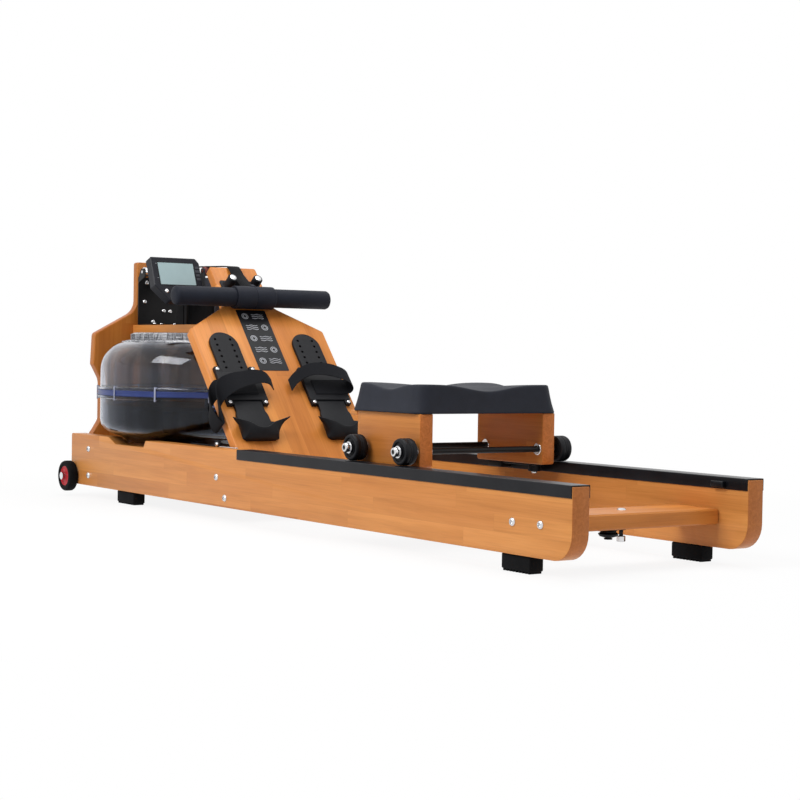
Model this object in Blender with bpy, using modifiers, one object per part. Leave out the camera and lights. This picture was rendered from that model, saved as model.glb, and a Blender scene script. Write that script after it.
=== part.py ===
"""Rowing machine with two wooden rails, a clear water tank, a sliding seat and a pull handle.

Metres. +X points to the rear end of the rails, -Y is the rower's left side, +Z is up.
The origin is on the floor, under the middle of the whole.
"""

import math

import bmesh
import bpy
from mathutils import Matrix, Vector

# Driving sizes of the rails
RAIL_FRONT_X = -1.025
RAIL_REAR_X = 1.055
RAIL_INNER_Y = 0.196
RAIL_OUTER_Y = 0.235
RAIL_BOTTOM_Z = 0.033
RAIL_TOP_Z = 0.1675
COVER_TOP_Z = 0.170
COVER_FRONT_X = -0.125
COVER_WALL = 0.0021
GAP = 0.0003
BEAM_Y = RAIL_INNER_Y - GAP

# Driving sizes of the tank
TANK_X = -0.6985
TANK_R = 0.2775
FLANGE_R = 0.2850
TANK_WALL = 0.005
TANK_BOTTOM_Z = 0.1555
TANK_TOP_Z = 0.418
TANK_SHOULDER_R = 0.075
WATER_Z = 0.250

# Driving sizes of the footboard, whose own frame runs down the slope, across and out of it
SLOPE = math.radians(49.9)
FOOTBOARD_TOP = (-0.578, 0.0, 0.608)
FOOTBOARD_T = 0.024
FOOT_Y = 0.118

# Driving sizes of the belt and the handle
BELT_T = 0.0016
BELT_W = 0.036
TOP_ROLLER = (-0.6880, 0.6005, 0.012)
FRONT_ROLLER = (-0.937, 0.604, 0.0125)
DRUM_X = TANK_X
DRUM_R = 0.038
GUARD_R = 0.0585
GUARD_HALF = 0.0270
GUARD_Z = 0.4886
HANDLE = (-0.472, 0.529)

# Driving sizes of the seat
AXLE_X = {"front": 0.312, "rear": 0.492}
AXLE_Z = 0.1978
AXLE_HALF = 0.2284
SEAT_WHEEL_R = 0.0275
SEAT_WHEEL_Y = 0.2010
SEAT_WHEEL_HALF = 0.0147
SEAT_SIDE_TOP_Z = 0.2740
SEAT_MID_X = 0.385

# Driving sizes of the monitor, whose own frame runs down its face, across and out of it
MONITOR_AT = (-0.675, -0.1065, 0.590)
MONITOR_TILT = math.radians(68)

for old in list(bpy.data.objects):
    bpy.data.objects.remove(old, do_unlink=True)
for old in list(bpy.data.collections):
    bpy.data.collections.remove(old)

PARTS = bpy.data.collections.new("water_rowing_machine")
CUTTERS = bpy.data.collections.new("cutters")
bpy.context.scene.collection.children.link(PARTS)
bpy.context.scene.collection.children.link(CUTTERS)

COLOURS = {
    "wood": ((0.72, 0.36, 0.12), 0.45, 0.0),
    "clear_shell": ((0.80, 0.86, 0.90), 0.08, 0.0),
    "water": ((0.35, 0.50, 0.58), 0.05, 0.0),
    "blue_seal": ((0.03, 0.06, 0.45), 0.35, 0.0),
    "black_plastic": ((0.02, 0.02, 0.022), 0.45, 0.0),
    "grey_plastic": ((0.16, 0.16, 0.18), 0.5, 0.0),
    "red_plastic": ((0.38, 0.13, 0.11), 0.5, 0.0),
    "black_steel": ((0.015, 0.015, 0.017), 0.4, 0.3),
    "chrome": ((0.75, 0.75, 0.77), 0.15, 1.0),
    "black_rubber": ((0.02, 0.02, 0.02), 0.8, 0.0),
    "rail_cover": ((0.03, 0.03, 0.035), 0.35, 0.0),
    "foam": ((0.025, 0.025, 0.032), 0.85, 0.0),
    "webbing": ((0.02, 0.02, 0.022), 0.8, 0.0),
    "seat_skin": ((0.06, 0.06, 0.07), 0.7, 0.0),
    "wheel_rubber": ((0.03, 0.03, 0.032), 0.6, 0.0),
    "display": ((0.50, 0.60, 0.58), 0.2, 0.0),
}


def slot(name):
    """The node's own material, named for its slot."""
    colour, rough, metal = COLOURS[name]
    made = bpy.data.materials.new(name)
    made.use_nodes = True
    shader = made.node_tree.nodes["Principled BSDF"]
    shader.inputs["Base Color"].default_value = (*colour, 1.0)
    shader.inputs["Roughness"].default_value = rough
    shader.inputs["Metallic"].default_value = metal
    return made


def add(name, mesh, material, place=None):
    """Puts a mesh in the object's collection, or among the cutters when it has no material."""
    made = bpy.data.objects.new(name, mesh)
    if material is None:
        CUTTERS.objects.link(made)
        made.hide_render = True
        made.display_type = "WIRE"
    else:
        PARTS.objects.link(made)
        mesh.materials.append(slot(material))
    made.matrix_world = place or Matrix.Identity(4)
    return made


def soften(made, width, segments=1):
    """Rounds the sharp edges of an object."""
    if width:
        bevel = made.modifiers.new("edges", "BEVEL")
        bevel.width = width
        bevel.segments = segments
        bevel.limit_method = "ANGLE"
        bevel.angle_limit = math.radians(40)
    return made


def block(name, low, high, material, edge=0.0, place=None):
    """A box between two corners."""
    shape = bmesh.new()
    bmesh.ops.create_cube(shape, size=1.0)
    for point in shape.verts:
        for k in range(3):
            point.co[k] = low[k] if point.co[k] < 0 else high[k]
    mesh = bpy.data.meshes.new(name)
    shape.to_mesh(mesh)
    shape.free()
    return soften(add(name, mesh, material, place), edge)


def rounded(corners, steps=4):
    """An outline from corners that each state their own radius."""
    outline = []
    count = len(corners)
    for k, (a, b, radius) in enumerate(corners):
        here = Vector((a, b))
        before = (Vector(corners[k - 1][:2]) - here).normalized()
        after = (Vector(corners[(k + 1) % count][:2]) - here).normalized()
        if radius <= 0:
            outline.append((a, b))
            continue
        half = before.angle(after) / 2
        reach = radius / math.tan(half)
        middle = here + (before + after).normalized() * (radius / math.sin(half))
        start = here + before * reach - middle
        turn = start.angle_signed(here + after * reach - middle)
        for s in range(steps + 1):
            angle = -turn * s / steps
            x = start.x * math.cos(angle) - start.y * math.sin(angle)
            y = start.x * math.sin(angle) + start.y * math.cos(angle)
            outline.append((middle.x + x, middle.y + y))
    return outline


def mirrored(half):
    """A whole outline from the half at positive values of its second number."""
    return half + [(a, -b, radius) for a, b, radius in reversed(half)]


def prism(name, outline, axis, low, high, material, edge=0.0, place=None, segments=1):
    """An outline pushed out along one axis."""
    order = {"x": (1, 2, 0), "y": (0, 2, 1), "z": (0, 1, 2)}[axis]
    shape = bmesh.new()
    ring = []
    for a, b in outline:
        point = [0.0, 0.0, 0.0]
        point[order[0]] = a
        point[order[1]] = b
        point[order[2]] = low
        ring.append(shape.verts.new(point))
    face = shape.faces.new(ring)
    pushed = bmesh.ops.extrude_face_region(shape, geom=[face])
    shift = [0.0, 0.0, 0.0]
    shift[order[2]] = high - low
    moved = [g for g in pushed["geom"] if isinstance(g, bmesh.types.BMVert)]
    bmesh.ops.translate(shape, vec=shift, verts=moved)
    bmesh.ops.recalc_face_normals(shape, faces=shape.faces)
    mesh = bpy.data.meshes.new(name)
    shape.to_mesh(mesh)
    shape.free()
    return soften(add(name, mesh, material, place), edge, segments)


def arc(middle_r, middle_z, radius, first, last, steps):
    """Points of an arc in the plane of a turned profile, angles in degrees."""
    points = []
    for s in range(steps + 1):
        angle = math.radians(first + (last - first) * s / steps)
        points.append((middle_r + radius * math.cos(angle), middle_z + radius * math.sin(angle)))
    return points


def turned(name, profile, material, place, steps=32, ring=False):
    """A profile turned about the placed Z axis. Its outer side runs from top to bottom."""
    mesh = bpy.data.meshes.new(name)
    edges = [(k, k + 1) for k in range(len(profile) - 1)]
    if ring:
        edges.append((len(profile) - 1, 0))
    mesh.from_pydata([(r, 0.0, z) for r, z in profile], edges, [])
    made = add(name, mesh, material, place)
    screw = made.modifiers.new("turn", "SCREW")
    screw.steps = steps
    screw.render_steps = steps
    screw.use_merge_vertices = True
    screw.merge_threshold = 0.00001
    screw.use_smooth_shade = True
    return made


def at(x, y, z):
    return Matrix.Translation((x, y, z))


def across(x, y, z):
    """A place whose Z axis is the row's Y axis."""
    return Matrix.Translation((x, y, z)) @ Matrix.Rotation(-math.pi / 2, 4, "X")


def on_slope(u, y, h):
    """A place in the footboard's own frame: down the slope, across and out of it."""
    return at(*FOOTBOARD_TOP) @ Matrix.Rotation(SLOPE, 4, "Y") @ at(u, y, h)


def on_monitor(a, y, h):
    """A place in the monitor's own frame: down its face, across and out of it."""
    return at(*MONITOR_AT) @ Matrix.Rotation(MONITOR_TILT, 4, "Y") @ at(a, y, h)


def combine(made, other, how):
    step = made.modifiers.new(how.lower(), "BOOLEAN")
    step.operation = how
    step.solver = "EXACT"
    step.object = other
    return made


def drill(made, place, radius, reach, steps=12):
    """A round hole along the placed Z axis."""
    pin = turned("drill", [(0, reach), (radius, reach), (radius, -reach), (0, -reach)], None, place, steps)
    return combine(made, pin, "DIFFERENCE")


def ribbon(name, centres, sides, thickness, material, place=None, smooth=True):
    """A flat band through centres. Each side vector is half its width there."""
    shape = bmesh.new()
    rows = []
    for centre, side in zip(centres, sides):
        centre = Vector(centre)
        side = Vector(side)
        rows.append((shape.verts.new(centre - side), shape.verts.new(centre + side)))
    for before, after in zip(rows, rows[1:]):
        shape.faces.new((before[0], after[0], after[1], before[1]))
    for face in shape.faces:
        face.smooth = smooth
    mesh = bpy.data.meshes.new(name)
    shape.to_mesh(mesh)
    shape.free()
    made = add(name, mesh, material, place)
    skin = made.modifiers.new("thickness", "SOLIDIFY")
    skin.thickness = thickness
    skin.offset = 0.0
    skin.use_even_offset = True
    return made


def curve_points(control, each):
    """A smooth path through control points."""
    path = [Vector(p) for p in control]
    ends = [path[0] * 2 - path[1]] + path + [path[-1] * 2 - path[-2]]
    points = []
    for k in range(len(path) - 1):
        a, b, c, d = ends[k : k + 4]
        for s in range(each):
            t = s / each
            points.append(
                0.5
                * (
                    2 * b
                    + (c - a) * t
                    + (2 * a - 5 * b + 4 * c - d) * t * t
                    + (3 * b - a - 3 * c + d) * t * t * t
                )
            )
    return points + [path[-1]]


SIDES = (("left", -1), ("right", 1))


def side_span(sign, near, far):
    """The low and high Y of a span given by its distances from the middle plane."""
    return (near, far) if sign > 0 else (-far, -near)


# Rails, each one board with a shallow notch for the tank
RAIL_SIDE = rounded(
    [
        (RAIL_FRONT_X, RAIL_BOTTOM_Z, 0.012),
        (RAIL_REAR_X, RAIL_BOTTOM_Z, 0.050),
        (RAIL_REAR_X, RAIL_TOP_Z, 0.003),
        (-0.588, RAIL_TOP_Z, 0.003),
        (-0.600, RAIL_TOP_Z - 0.017, 0.005),
        (-0.757, RAIL_TOP_Z - 0.017, 0.008),
        (-0.800, RAIL_TOP_Z, 0.006),
        (RAIL_FRONT_X, RAIL_TOP_Z, 0.006),
    ]
)
TRANSPORT_AT = (-1.0145, 0.0535)
TRANSPORT_R = 0.0405
for side, sign in SIDES:
    low, high = side_span(sign, RAIL_INNER_Y, RAIL_OUTER_Y)
    rail = prism(f"rail_{side}", RAIL_SIDE, "y", low, high, "wood", 0.0015)
    drill(rail, across(TRANSPORT_AT[0], (low + high) / 2, TRANSPORT_AT[1]), 0.0053, 0.03)

# Plastic running covers with their end stops
for side, sign in SIDES:
    outer = RAIL_OUTER_Y + GAP + COVER_WALL
    inner = RAIL_INNER_Y - GAP - COVER_WALL
    under = COVER_TOP_Z - COVER_WALL
    section = [
        (outer, 0.147, 0),
        (outer, COVER_TOP_Z, 0.0015),
        (inner, COVER_TOP_Z, 0.0015),
        (inner, 0.147, 0),
        (inner + COVER_WALL, 0.147, 0),
        (inner + COVER_WALL, under, 0),
        (outer - COVER_WALL, under, 0),
        (outer - COVER_WALL, 0.147, 0),
    ]
    section = [(sign * y, z) for y, z in rounded(section, 3)]
    cover = prism(f"rail_cover_{side}", section, "x", COVER_FRONT_X, 1.053, "rail_cover")
    low, high = side_span(sign, inner - 0.010, inner + 0.0005)
    stop = block("stop", (0.965, low, 0.150), (0.997, high, 0.162), None)
    combine(cover, stop, "UNION")

# Upright front board
FRONT_HALF = [
    (0.064, 0.632, 0.006),
    (0.064, 0.502, 0.045),
    (0.187, 0.436, 0.012),
    (0.191, 0.354, 0.006),
    (0.168, 0.312, 0.040),
    (0.168, 0.205, 0.020),
    (0.190, 0.169, 0.003),
    (0.1955, 0.160, 0.0),
    (0.1955, 0.063, 0.003),
]
front_outline = [(y, z) for y, z in rounded(FRONT_HALF + [(-y, z, r) for y, z, r in reversed(FRONT_HALF)])]
FRONT_REAR_X = -0.9875
prism("front_board", front_outline, "x", FRONT_REAR_X - 0.025, FRONT_REAR_X, "wood", 0.0025)

# Sloping footboard
FOOTBOARD_HALF = [
    (0.0, 0.067, 0.006),
    (0.131, 0.069, 0.030),
    (0.209, 0.191, 0.010),
    (0.665, 0.1905, 0.006),
]
prism(
    "footboard",
    rounded(mirrored(FOOTBOARD_HALF)),
    "z",
    -FOOTBOARD_T,
    0.0,
    "wood",
    0.0025,
    on_slope(0, 0, 0),
)

# Shelf over the tank, cut to the slope at its rear end
SHELF_TOP_Z = 0.461
SHELF_BOTTOM_Z = 0.439


def board_back_x(z):
    """Where the back of the footboard stands at a height."""
    along = FOOTBOARD_TOP[0] + (FOOTBOARD_TOP[2] - z) * math.tan(math.pi / 2 - SLOPE)
    return along - FOOTBOARD_T / math.sin(SLOPE) - 0.0006


shelf_side = [
    (FRONT_REAR_X + GAP, SHELF_BOTTOM_Z),
    (board_back_x(SHELF_BOTTOM_Z), SHELF_BOTTOM_Z),
    (board_back_x(SHELF_TOP_Z), SHELF_TOP_Z),
    (FRONT_REAR_X + GAP, SHELF_TOP_Z),
]
shelf = prism("shelf_board", shelf_side, "y", -0.075, 0.075, "wood")
drill(shelf, at(TANK_X, 0, 0.45), 0.0105, 0.03, 20)

# Cross beams and boards between the rails
block("front_cross_beam", (-0.9872, -BEAM_Y, 0.045), (-0.9122, BEAM_Y, 0.155), "wood", 0.0025)
block(
    "foot_cross_beam",
    (0.560, -BEAM_Y, -0.0646),
    (0.660, BEAM_Y, -FOOTBOARD_T - GAP),
    "wood",
    0.0025,
    on_slope(0, 0, 0),
)
block("rear_cross_board", (0.865, -BEAM_Y, 0.078), (0.979, BEAM_Y, 0.108), "wood", 0.003)
block("tank_base_board", (-0.9118, -BEAM_Y, 0.1325), (-0.520, BEAM_Y, 0.1552), "wood", 0.002)

# Rubber feet
for end, low_x, high_x in (("front", -0.756, -0.662), ("rear", 0.848, 0.932)):
    for side, sign in SIDES:
        low, high = side_span(sign, 0.1965, 0.229)
        block(
            f"foot_{end}_{side}",
            (low_x, low, 0.0),
            (high_x, high, RAIL_BOTTOM_Z - GAP),
            "black_rubber",
            0.003,
        )

# Clear tank in two shells with a blue seal between them
INNER_R = TANK_R - TANK_WALL
TOP_CORNER = (TANK_R - TANK_SHOULDER_R, TANK_TOP_Z - TANK_SHOULDER_R)
SEAL = (0.2740, 0.2950)
INSIDE_SHOULDER_R = TANK_SHOULDER_R - TANK_WALL
BOWL_INSIDE = [(0, 0.1605), (0.1880, 0.1605), (0.2005, 0.1615), (0.2195, 0.1748)]
BOWL_INSIDE += [(0.2450, 0.1830), (0.2602, 0.1905), (0.2690, 0.2015), (INNER_R, 0.2150)]
BOWL_OUTSIDE = [(TANK_R, 0.2150), (0.2735, 0.1995), (0.2640, 0.1875), (0.2480, 0.1785)]
BOWL_OUTSIDE += [(0.2225, 0.1700), (0.2045, 0.1568), (0.1900, TANK_BOTTOM_Z), (0, TANK_BOTTOM_Z)]
lower = BOWL_INSIDE[:]
lower += [(INNER_R, SEAL[0] - GAP), (FLANGE_R, SEAL[0] - GAP), (FLANGE_R, 0.2703), (TANK_R, 0.2690)]
lower += BOWL_OUTSIDE
turned("tank_lower_shell", lower, "clear_shell", at(TANK_X, 0, 0), 40)
HOLE_R = 0.030
upper = [(HOLE_R, TANK_TOP_Z)]
upper += arc(*TOP_CORNER, TANK_SHOULDER_R, 90, 0, 4)
upper += [(TANK_R, 0.3000), (FLANGE_R, 0.2987), (FLANGE_R, SEAL[1] + GAP), (INNER_R, SEAL[1] + GAP)]
upper += arc(*TOP_CORNER, INSIDE_SHOULDER_R, 0, 90, 4)
upper += [(HOLE_R, TANK_TOP_Z - TANK_WALL)]
turned("tank_upper_shell", upper, "clear_shell", at(TANK_X, 0, 0), 40, ring=True)
seal = [(INNER_R + 0.0005, SEAL[1]), (FLANGE_R, SEAL[1]), (FLANGE_R, SEAL[0]), (INNER_R + 0.0005, SEAL[0])]
turned("tank_seal", seal, "blue_seal", at(TANK_X, 0, 0), 40, ring=True)
neck = [(0.130, 0.4387), (0.200, 0.4387), (0.200, 0.4187), (0.130, 0.4187)]
turned("tank_neck_ring", neck, "clear_shell", at(TANK_X, 0, 0), 40, ring=True)

# Water, open in the middle where the paddle sweeps
SWEEP_R = 0.178
water = [(0, 0.172), (SWEEP_R, 0.172), (SWEEP_R, WATER_Z), (INNER_R - GAP, WATER_Z)]
water += [(max(r - GAP, 0), z + GAP) for r, z in reversed(BOWL_INSIDE)]
turned("tank_water", water, "water", at(TANK_X, 0, 0), 40)

# Paddle: an upright shaft with four blades, two blades per crossing plate
shaft = [(0, 0.4632), (0.008, 0.4632), (0.008, 0.176), (0, 0.176)]
paddle = turned("paddle", shaft, "grey_plastic", at(TANK_X, 0, 0), 20)
for turn in (25, 115):
    place = at(TANK_X, 0, 0) @ Matrix.Rotation(math.radians(turn), 4, "Z")
    blade = block("blade", (-0.168, -0.002, 0.182), (0.168, 0.002, 0.236), None, 0, place)
    combine(paddle, blade, "UNION")

# Black steel bracket on the front board, with lugs for the front roller
BRACKET_X = -0.9622
bracket = block("front_bracket", (BRACKET_X, -0.074, 0.4613), (BRACKET_X + 0.003, 0.074, 0.591), "black_steel")
combine(bracket, block("sole", (BRACKET_X + 0.001, -0.074, 0.4613), (-0.880, 0.074, 0.4643), None), "UNION")
for low_y, high_y in ((-0.052, -0.034), (0.034, 0.052)):
    spacer = block("spacer", (FRONT_REAR_X + GAP, low_y, 0.478), (BRACKET_X + 0.001, high_y, 0.572), None)
    combine(bracket, spacer, "UNION")
LUG_X = BRACKET_X + 0.001
LUG = [(LUG_X, 0.575), (-0.925, 0.590), (-0.925, 0.613), (-0.946, 0.613), (LUG_X, 0.589)]
for side, sign in SIDES:
    low, high = side_span(sign, 0.0705, 0.0738)
    lug = prism("lug", LUG, "y", low, high, None)
    combine(bracket, lug, "UNION")
    drill(bracket, across(FRONT_ROLLER[0], sign * 0.072, FRONT_ROLLER[1]), 0.0043, 0.008)


def roller_profile(half, radius, pin_half, pin_r):
    """A roller with its own stub pins, for turning about the middle."""
    return [
        (0, pin_half),
        (pin_r, pin_half),
        (pin_r, half),
        (radius, half),
        (radius, -half),
        (pin_r, -half),
        (pin_r, -pin_half),
        (0, -pin_half),
    ]


turned(
    "front_roller",
    roller_profile(0.0700, FRONT_ROLLER[2], 0.0755, 0.004),
    "chrome",
    across(FRONT_ROLLER[0], 0, FRONT_ROLLER[1]),
    24,
)

# Bridge over the drum, carrying the top roller
bridge = block("roller_bridge", (-0.7650, -0.028, 0.5560), (-0.6320, 0.028, 0.5600), "grey_plastic")
for low_x in (-0.7650, -0.6360):
    leg = block("leg", (low_x, -0.018, 0.4613), (low_x + 0.004, 0.018, 0.5570), None)
    combine(bridge, leg, "UNION")
combine(bridge, block("head", (-0.7200, -0.0279, 0.5590), (-0.6321, 0.0279, 0.5830), None), "UNION")
EAR_SIDE = [(-0.7000, 0.5820, 0), (-0.6760, 0.5820, 0), (-0.6795, 0.6080, 0.004), (-0.6965, 0.6080, 0.004)]
EAR = rounded(EAR_SIDE, 3)
for side, sign in SIDES:
    low, high = side_span(sign, 0.0235, 0.0265)
    ear = prism("ear", EAR, "y", low, high, None)
    combine(bridge, ear, "UNION")
    drill(bridge, across(TOP_ROLLER[0], sign * 0.025, TOP_ROLLER[1]), 0.0043, 0.006)
turned(
    "top_roller",
    roller_profile(0.0230, TOP_ROLLER[2], 0.0285, 0.004),
    "red_plastic",
    across(TOP_ROLLER[0], 0, TOP_ROLLER[1]),
    24,
)

# Upright belt drum over the shelf
drum = [
    (0, 0.536),
    (0.042, 0.536),
    (0.042, 0.533),
    (DRUM_R, 0.533),
    (DRUM_R, 0.471),
    (0.042, 0.471),
    (0.042, 0.468),
    (0, 0.468),
]
turned("drive_drum", drum, "grey_plastic", at(DRUM_X, 0, 0), 32)

# Guard wall round the drum, open towards the front roller
guard = []
for s in range(25):
    angle = math.radians(-125 + 275 * s / 24)
    guard.append((DRUM_X + GUARD_R * math.cos(angle), GUARD_R * math.sin(angle), GUARD_Z))
ribbon("drum_guard", guard, [(0, 0, GUARD_HALF)] * len(guard), 0.0024, "black_plastic")

# Belt from the top roller, round the front roller and twisting down to the drum
wrap_r = FRONT_ROLLER[2] + GAP + BELT_T / 2
top_z = TOP_ROLLER[1] + TOP_ROLLER[2] + GAP + BELT_T / 2
centres = [Vector((TOP_ROLLER[0] - 0.001, 0, top_z))]
sides = [Vector((0, BELT_W / 2, 0))]
for s in range(9):
    angle = math.radians(90 + 180 * s / 8)
    centres.append(
        Vector(
            (
                FRONT_ROLLER[0] + wrap_r * math.cos(angle),
                0,
                FRONT_ROLLER[1] + wrap_r * math.sin(angle),
            )
        )
    )
    sides.append(Vector((0, BELT_W / 2, 0)))
run_start = centres[-1].copy()
drum_line_r = DRUM_R + GAP + BELT_T / 2
turn_in = math.acos(drum_line_r / (DRUM_X - run_start.x))
run_end = Vector((DRUM_X - drum_line_r * math.cos(turn_in), -drum_line_r * math.sin(turn_in), 0.508))
for s in range(1, 11):
    t = s / 10
    centres.append(run_start.lerp(run_end, t))
    turn = math.pi / 2 * t
    sides.append(Vector((0, math.cos(turn), -math.sin(turn))) * BELT_W / 2)
ribbon("belt_span", centres, sides, BELT_T, "webbing")

# Belt from the top roller over the footboard's edge to the handle
SLEEVE_R = 0.0285
handle_u = 0.1287
belt_end = on_slope(handle_u - SLEEVE_R - 0.0012, 0, 0.0302).translation
corner = on_slope(0.0, 0, 0.0).translation
path = [
    Vector((TOP_ROLLER[0] + 0.001, 0, top_z)),
    Vector((corner.x - 0.020, 0, corner.z + 0.0035)),
    Vector((corner.x - 0.008, 0, corner.z + 0.0027)),
    Vector((corner.x + 0.001, 0, corner.z + 0.0012)),
    Vector((corner.x + 0.010, 0, corner.z - 0.0035)),
    belt_end,
]
ribbon("drive_strap", path, [Vector((0, BELT_W / 2, 0))] * len(path), BELT_T, "webbing")

# Handle: a long foam grip with a sleeve round its middle
grip = [(0, 0.222), (0.0205, 0.222), (0.02375, 0.219)]
grip += [(r, -z) for r, z in reversed(grip)]
turned("handle_grip", grip, "foam", across(HANDLE[0], 0, HANDLE[1]), 32)
sleeve = [
    (0.0241, 0.055),
    (SLEEVE_R - 0.002, 0.055),
    (SLEEVE_R, 0.053),
    (SLEEVE_R, -0.053),
    (SLEEVE_R - 0.002, -0.055),
    (0.0241, -0.055),
]
turned("handle_sleeve", sleeve, "black_rubber", across(HANDLE[0], 0, HANDLE[1]), 32, ring=True)

# Two pegs on one plate that stop the handle
rest = block("handle_rest", (0.048, -0.056, GAP), (0.086, 0.056, 0.003), "black_plastic", 0, on_slope(0, 0, 0))
for side, sign in SIDES:
    peg = [(0, 0.0370), (0.0095, 0.0370), (0.0125, 0.0340), (0.0125, 0.012), (0.0165, 0.002), (0, 0.002)]
    combine(rest, turned("peg", peg, None, on_slope(0.067, sign * 0.0363, 0), 20), "UNION")

# Foot sliders with heel cups, the brackets that guide them, and instep straps
SLIDER_HALF = 0.039
HOLE_U = [0.249 + 0.0178 * k for k in range(6)]


HEEL_FLOOR = [(0.500, 0.0430, 0.005), (0.530, 0.0470, 0.005), (0.5490, 0.0490, 0.005), (0.5548, 0.0440, 0.005)]
HEEL_FLOOR += [(0.5560, 0.0200, 0.005)]
HEEL_RIM = [(0.5130, 0.0790, 0.0400), (0.5190, 0.0560, 0.0385), (0.5250, 0.0350, 0.0370)]
HEEL_RIM += [(0.5280, 0.0290, 0.0365)]
HEEL_RIM += [(0.5385, 0.0110, 0.0350)]


def heel_wall(name, place):
    """The wall that flares up round the heel from the slider's floor."""
    floor = curve_points(HEEL_FLOOR + [(u, -y, h) for u, y, h in reversed(HEEL_FLOOR)], 2)
    rim = curve_points(HEEL_RIM + [(u, -y, h) for u, y, h in reversed(HEEL_RIM)], 2)
    shape = bmesh.new()
    grid = []
    for k in range(5):
        t = k / 4
        line = []
        for low, high in zip(floor, rim):
            point = low.lerp(high, t)
            point.x += 0.008 * math.sin(math.pi * t)
            line.append(shape.verts.new(point))
        grid.append(line)
    for below, above in zip(grid, grid[1:]):
        for s in range(len(below) - 1):
            face = shape.faces.new((below[s], below[s + 1], above[s + 1], above[s]))
            face.smooth = True
    mesh = bpy.data.meshes.new(name)
    shape.to_mesh(mesh)
    shape.free()
    wall = add(name, mesh, None, place)
    skin = wall.modifiers.new("thickness", "SOLIDIFY")
    skin.thickness = 0.003
    skin.offset = 0.0
    return wall


# Strap path in the footboard's frame: down the slope, towards the middle, out of it, then half the width
STRAP_PATH = {
    "left": [
        ((0.402, 0.036, 0.0136), (0.022, 0.000, 0.000)),
        ((0.403, -0.054, 0.0146), (0.022, 0.001, 0.000)),
        ((0.410, -0.077, 0.0130), (0.021, 0.003, -0.004)),
        ((0.430, -0.093, -0.0010), (0.014, 0.006, -0.015)),
        ((0.464, -0.099, -0.0110), (0.006, 0.003, -0.020)),
        ((0.498, -0.092, -0.0150), (-0.001, 0.000, -0.021)),
        ((0.504, -0.084, -0.0120), (-0.001, 0.000, -0.021)),
        ((0.480, -0.0850, 0.0020), (0.007, 0.003, -0.020)),
        ((0.446, -0.0850, 0.0180), (0.016, 0.006, -0.014)),
        ((0.422, -0.0710, 0.0310), (0.024, 0.005, -0.006)),
        ((0.409, -0.0400, 0.0420), (0.024, 0.004, -0.001)),
        ((0.400, -0.0050, 0.0440), (0.021, 0.003, -0.001)),
        ((0.393, 0.0320, 0.0430), (0.019, 0.003, -0.002)),
        ((0.393, 0.0600, 0.0360), (0.016, 0.003, -0.004)),
        ((0.401, 0.0780, 0.0220), (0.014, 0.002, -0.005)),
    ],
    "right": [
        ((0.402, 0.036, 0.0136), (0.022, 0.000, 0.000)),
        ((0.402, -0.020, 0.0138), (0.022, 0.000, 0.000)),
        ((0.402, -0.052, 0.0146), (0.022, 0.000, 0.000)),
        ((0.402, -0.0635, 0.0190), (0.021, 0.000, 0.000)),
        ((0.399, -0.0650, 0.0300), (0.021, 0.000, 0.000)),
        ((0.393, -0.0560, 0.0410), (0.021, 0.000, 0.000)),
        ((0.385, -0.0360, 0.0470), (0.020, 0.002, 0.000)),
        ((0.376, -0.0050, 0.0490), (0.020, 0.003, 0.000)),
        ((0.368, 0.0300, 0.0440), (0.019, 0.003, 0.000)),
        ((0.369, 0.0600, 0.0320), (0.018, 0.002, 0.000)),
        ((0.380, 0.0830, 0.0190), (0.018, 0.002, 0.000)),
        ((0.396, 0.1010, 0.0120), (0.018, 0.001, 0.000)),
    ],
}
for side, sign in SIDES:
    here = on_slope(0, sign * FOOT_Y, 0)
    outline = []
    for k in range(13):
        angle = math.radians(-90 + 180 * k / 12)
        outline.append((0.265 - SLIDER_HALF * math.cos(angle), SLIDER_HALF * math.sin(angle)))
    outline += [(0.470, SLIDER_HALF), (0.482, 0.0430), (0.5490, 0.0475), (0.5565, 0.0400)]
    outline += [(0.5565, -0.0400), (0.5490, -0.0475), (0.482, -0.0430), (0.470, -SLIDER_HALF)]
    slider = prism(f"foot_slider_{side}", outline, "z", 0.0009, 0.0085, "black_plastic", 0, here)
    combine(slider, heel_wall("heel", here), "UNION")
    for k, u in enumerate(HOLE_U):
        for across_y in (-0.021, 0.021):
            drill(slider, here @ at(u, across_y, 0.005), 0.0036, 0.008, 8)
    guide = [
        (-0.056, GAP),
        (-0.0403, GAP),
        (-0.0403, 0.0090),
        (0.0403, 0.0090),
        (0.0403, GAP),
        (0.056, GAP),
        (0.056, 0.0115),
        (-0.056, 0.0115),
    ]
    prism(f"foot_bracket_{side}", guide, "x", 0.337, 0.453, "black_plastic", 0.0006, here)
    path = curve_points([(u, -sign * y, h) for (u, y, h), half in STRAP_PATH[side]], 2)
    halves = curve_points([(u, -sign * y, h) for point, (u, y, h) in STRAP_PATH[side]], 2)
    ribbon(f"foot_strap_{side}", path, halves, 0.002, "webbing", here)

# Transport wheels on one through rod
REACH = 0.2690
rod = [(0, REACH), (0.010, REACH), (0.010, 0.2625), (0.005, 0.2625)]
rod += [(r, -z) for r, z in reversed(rod)]
turned("transport_axle", rod, "chrome", across(TRANSPORT_AT[0], 0, TRANSPORT_AT[1]), 16)


def wheel_profile(radius, half, bore, hub_r, dish):
    """A wheel with a dished outer face, for turning about its middle."""
    return [
        (bore, half - dish),
        (hub_r, half),
        (radius - 0.0025, half),
        (radius, half - 0.0025),
        (radius, 0.0025 - half),
        (radius - 0.0025, -half),
        (hub_r, -half),
        (bore, dish - half),
    ]


for side, sign in SIDES:
    turned(
        f"transport_wheel_{side}",
        wheel_profile(TRANSPORT_R, 0.0126, 0.0053, 0.027, 0.002),
        "wheel_rubber",
        across(TRANSPORT_AT[0], sign * 0.2493, TRANSPORT_AT[1]),
        32,
        ring=True,
    )

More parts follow.
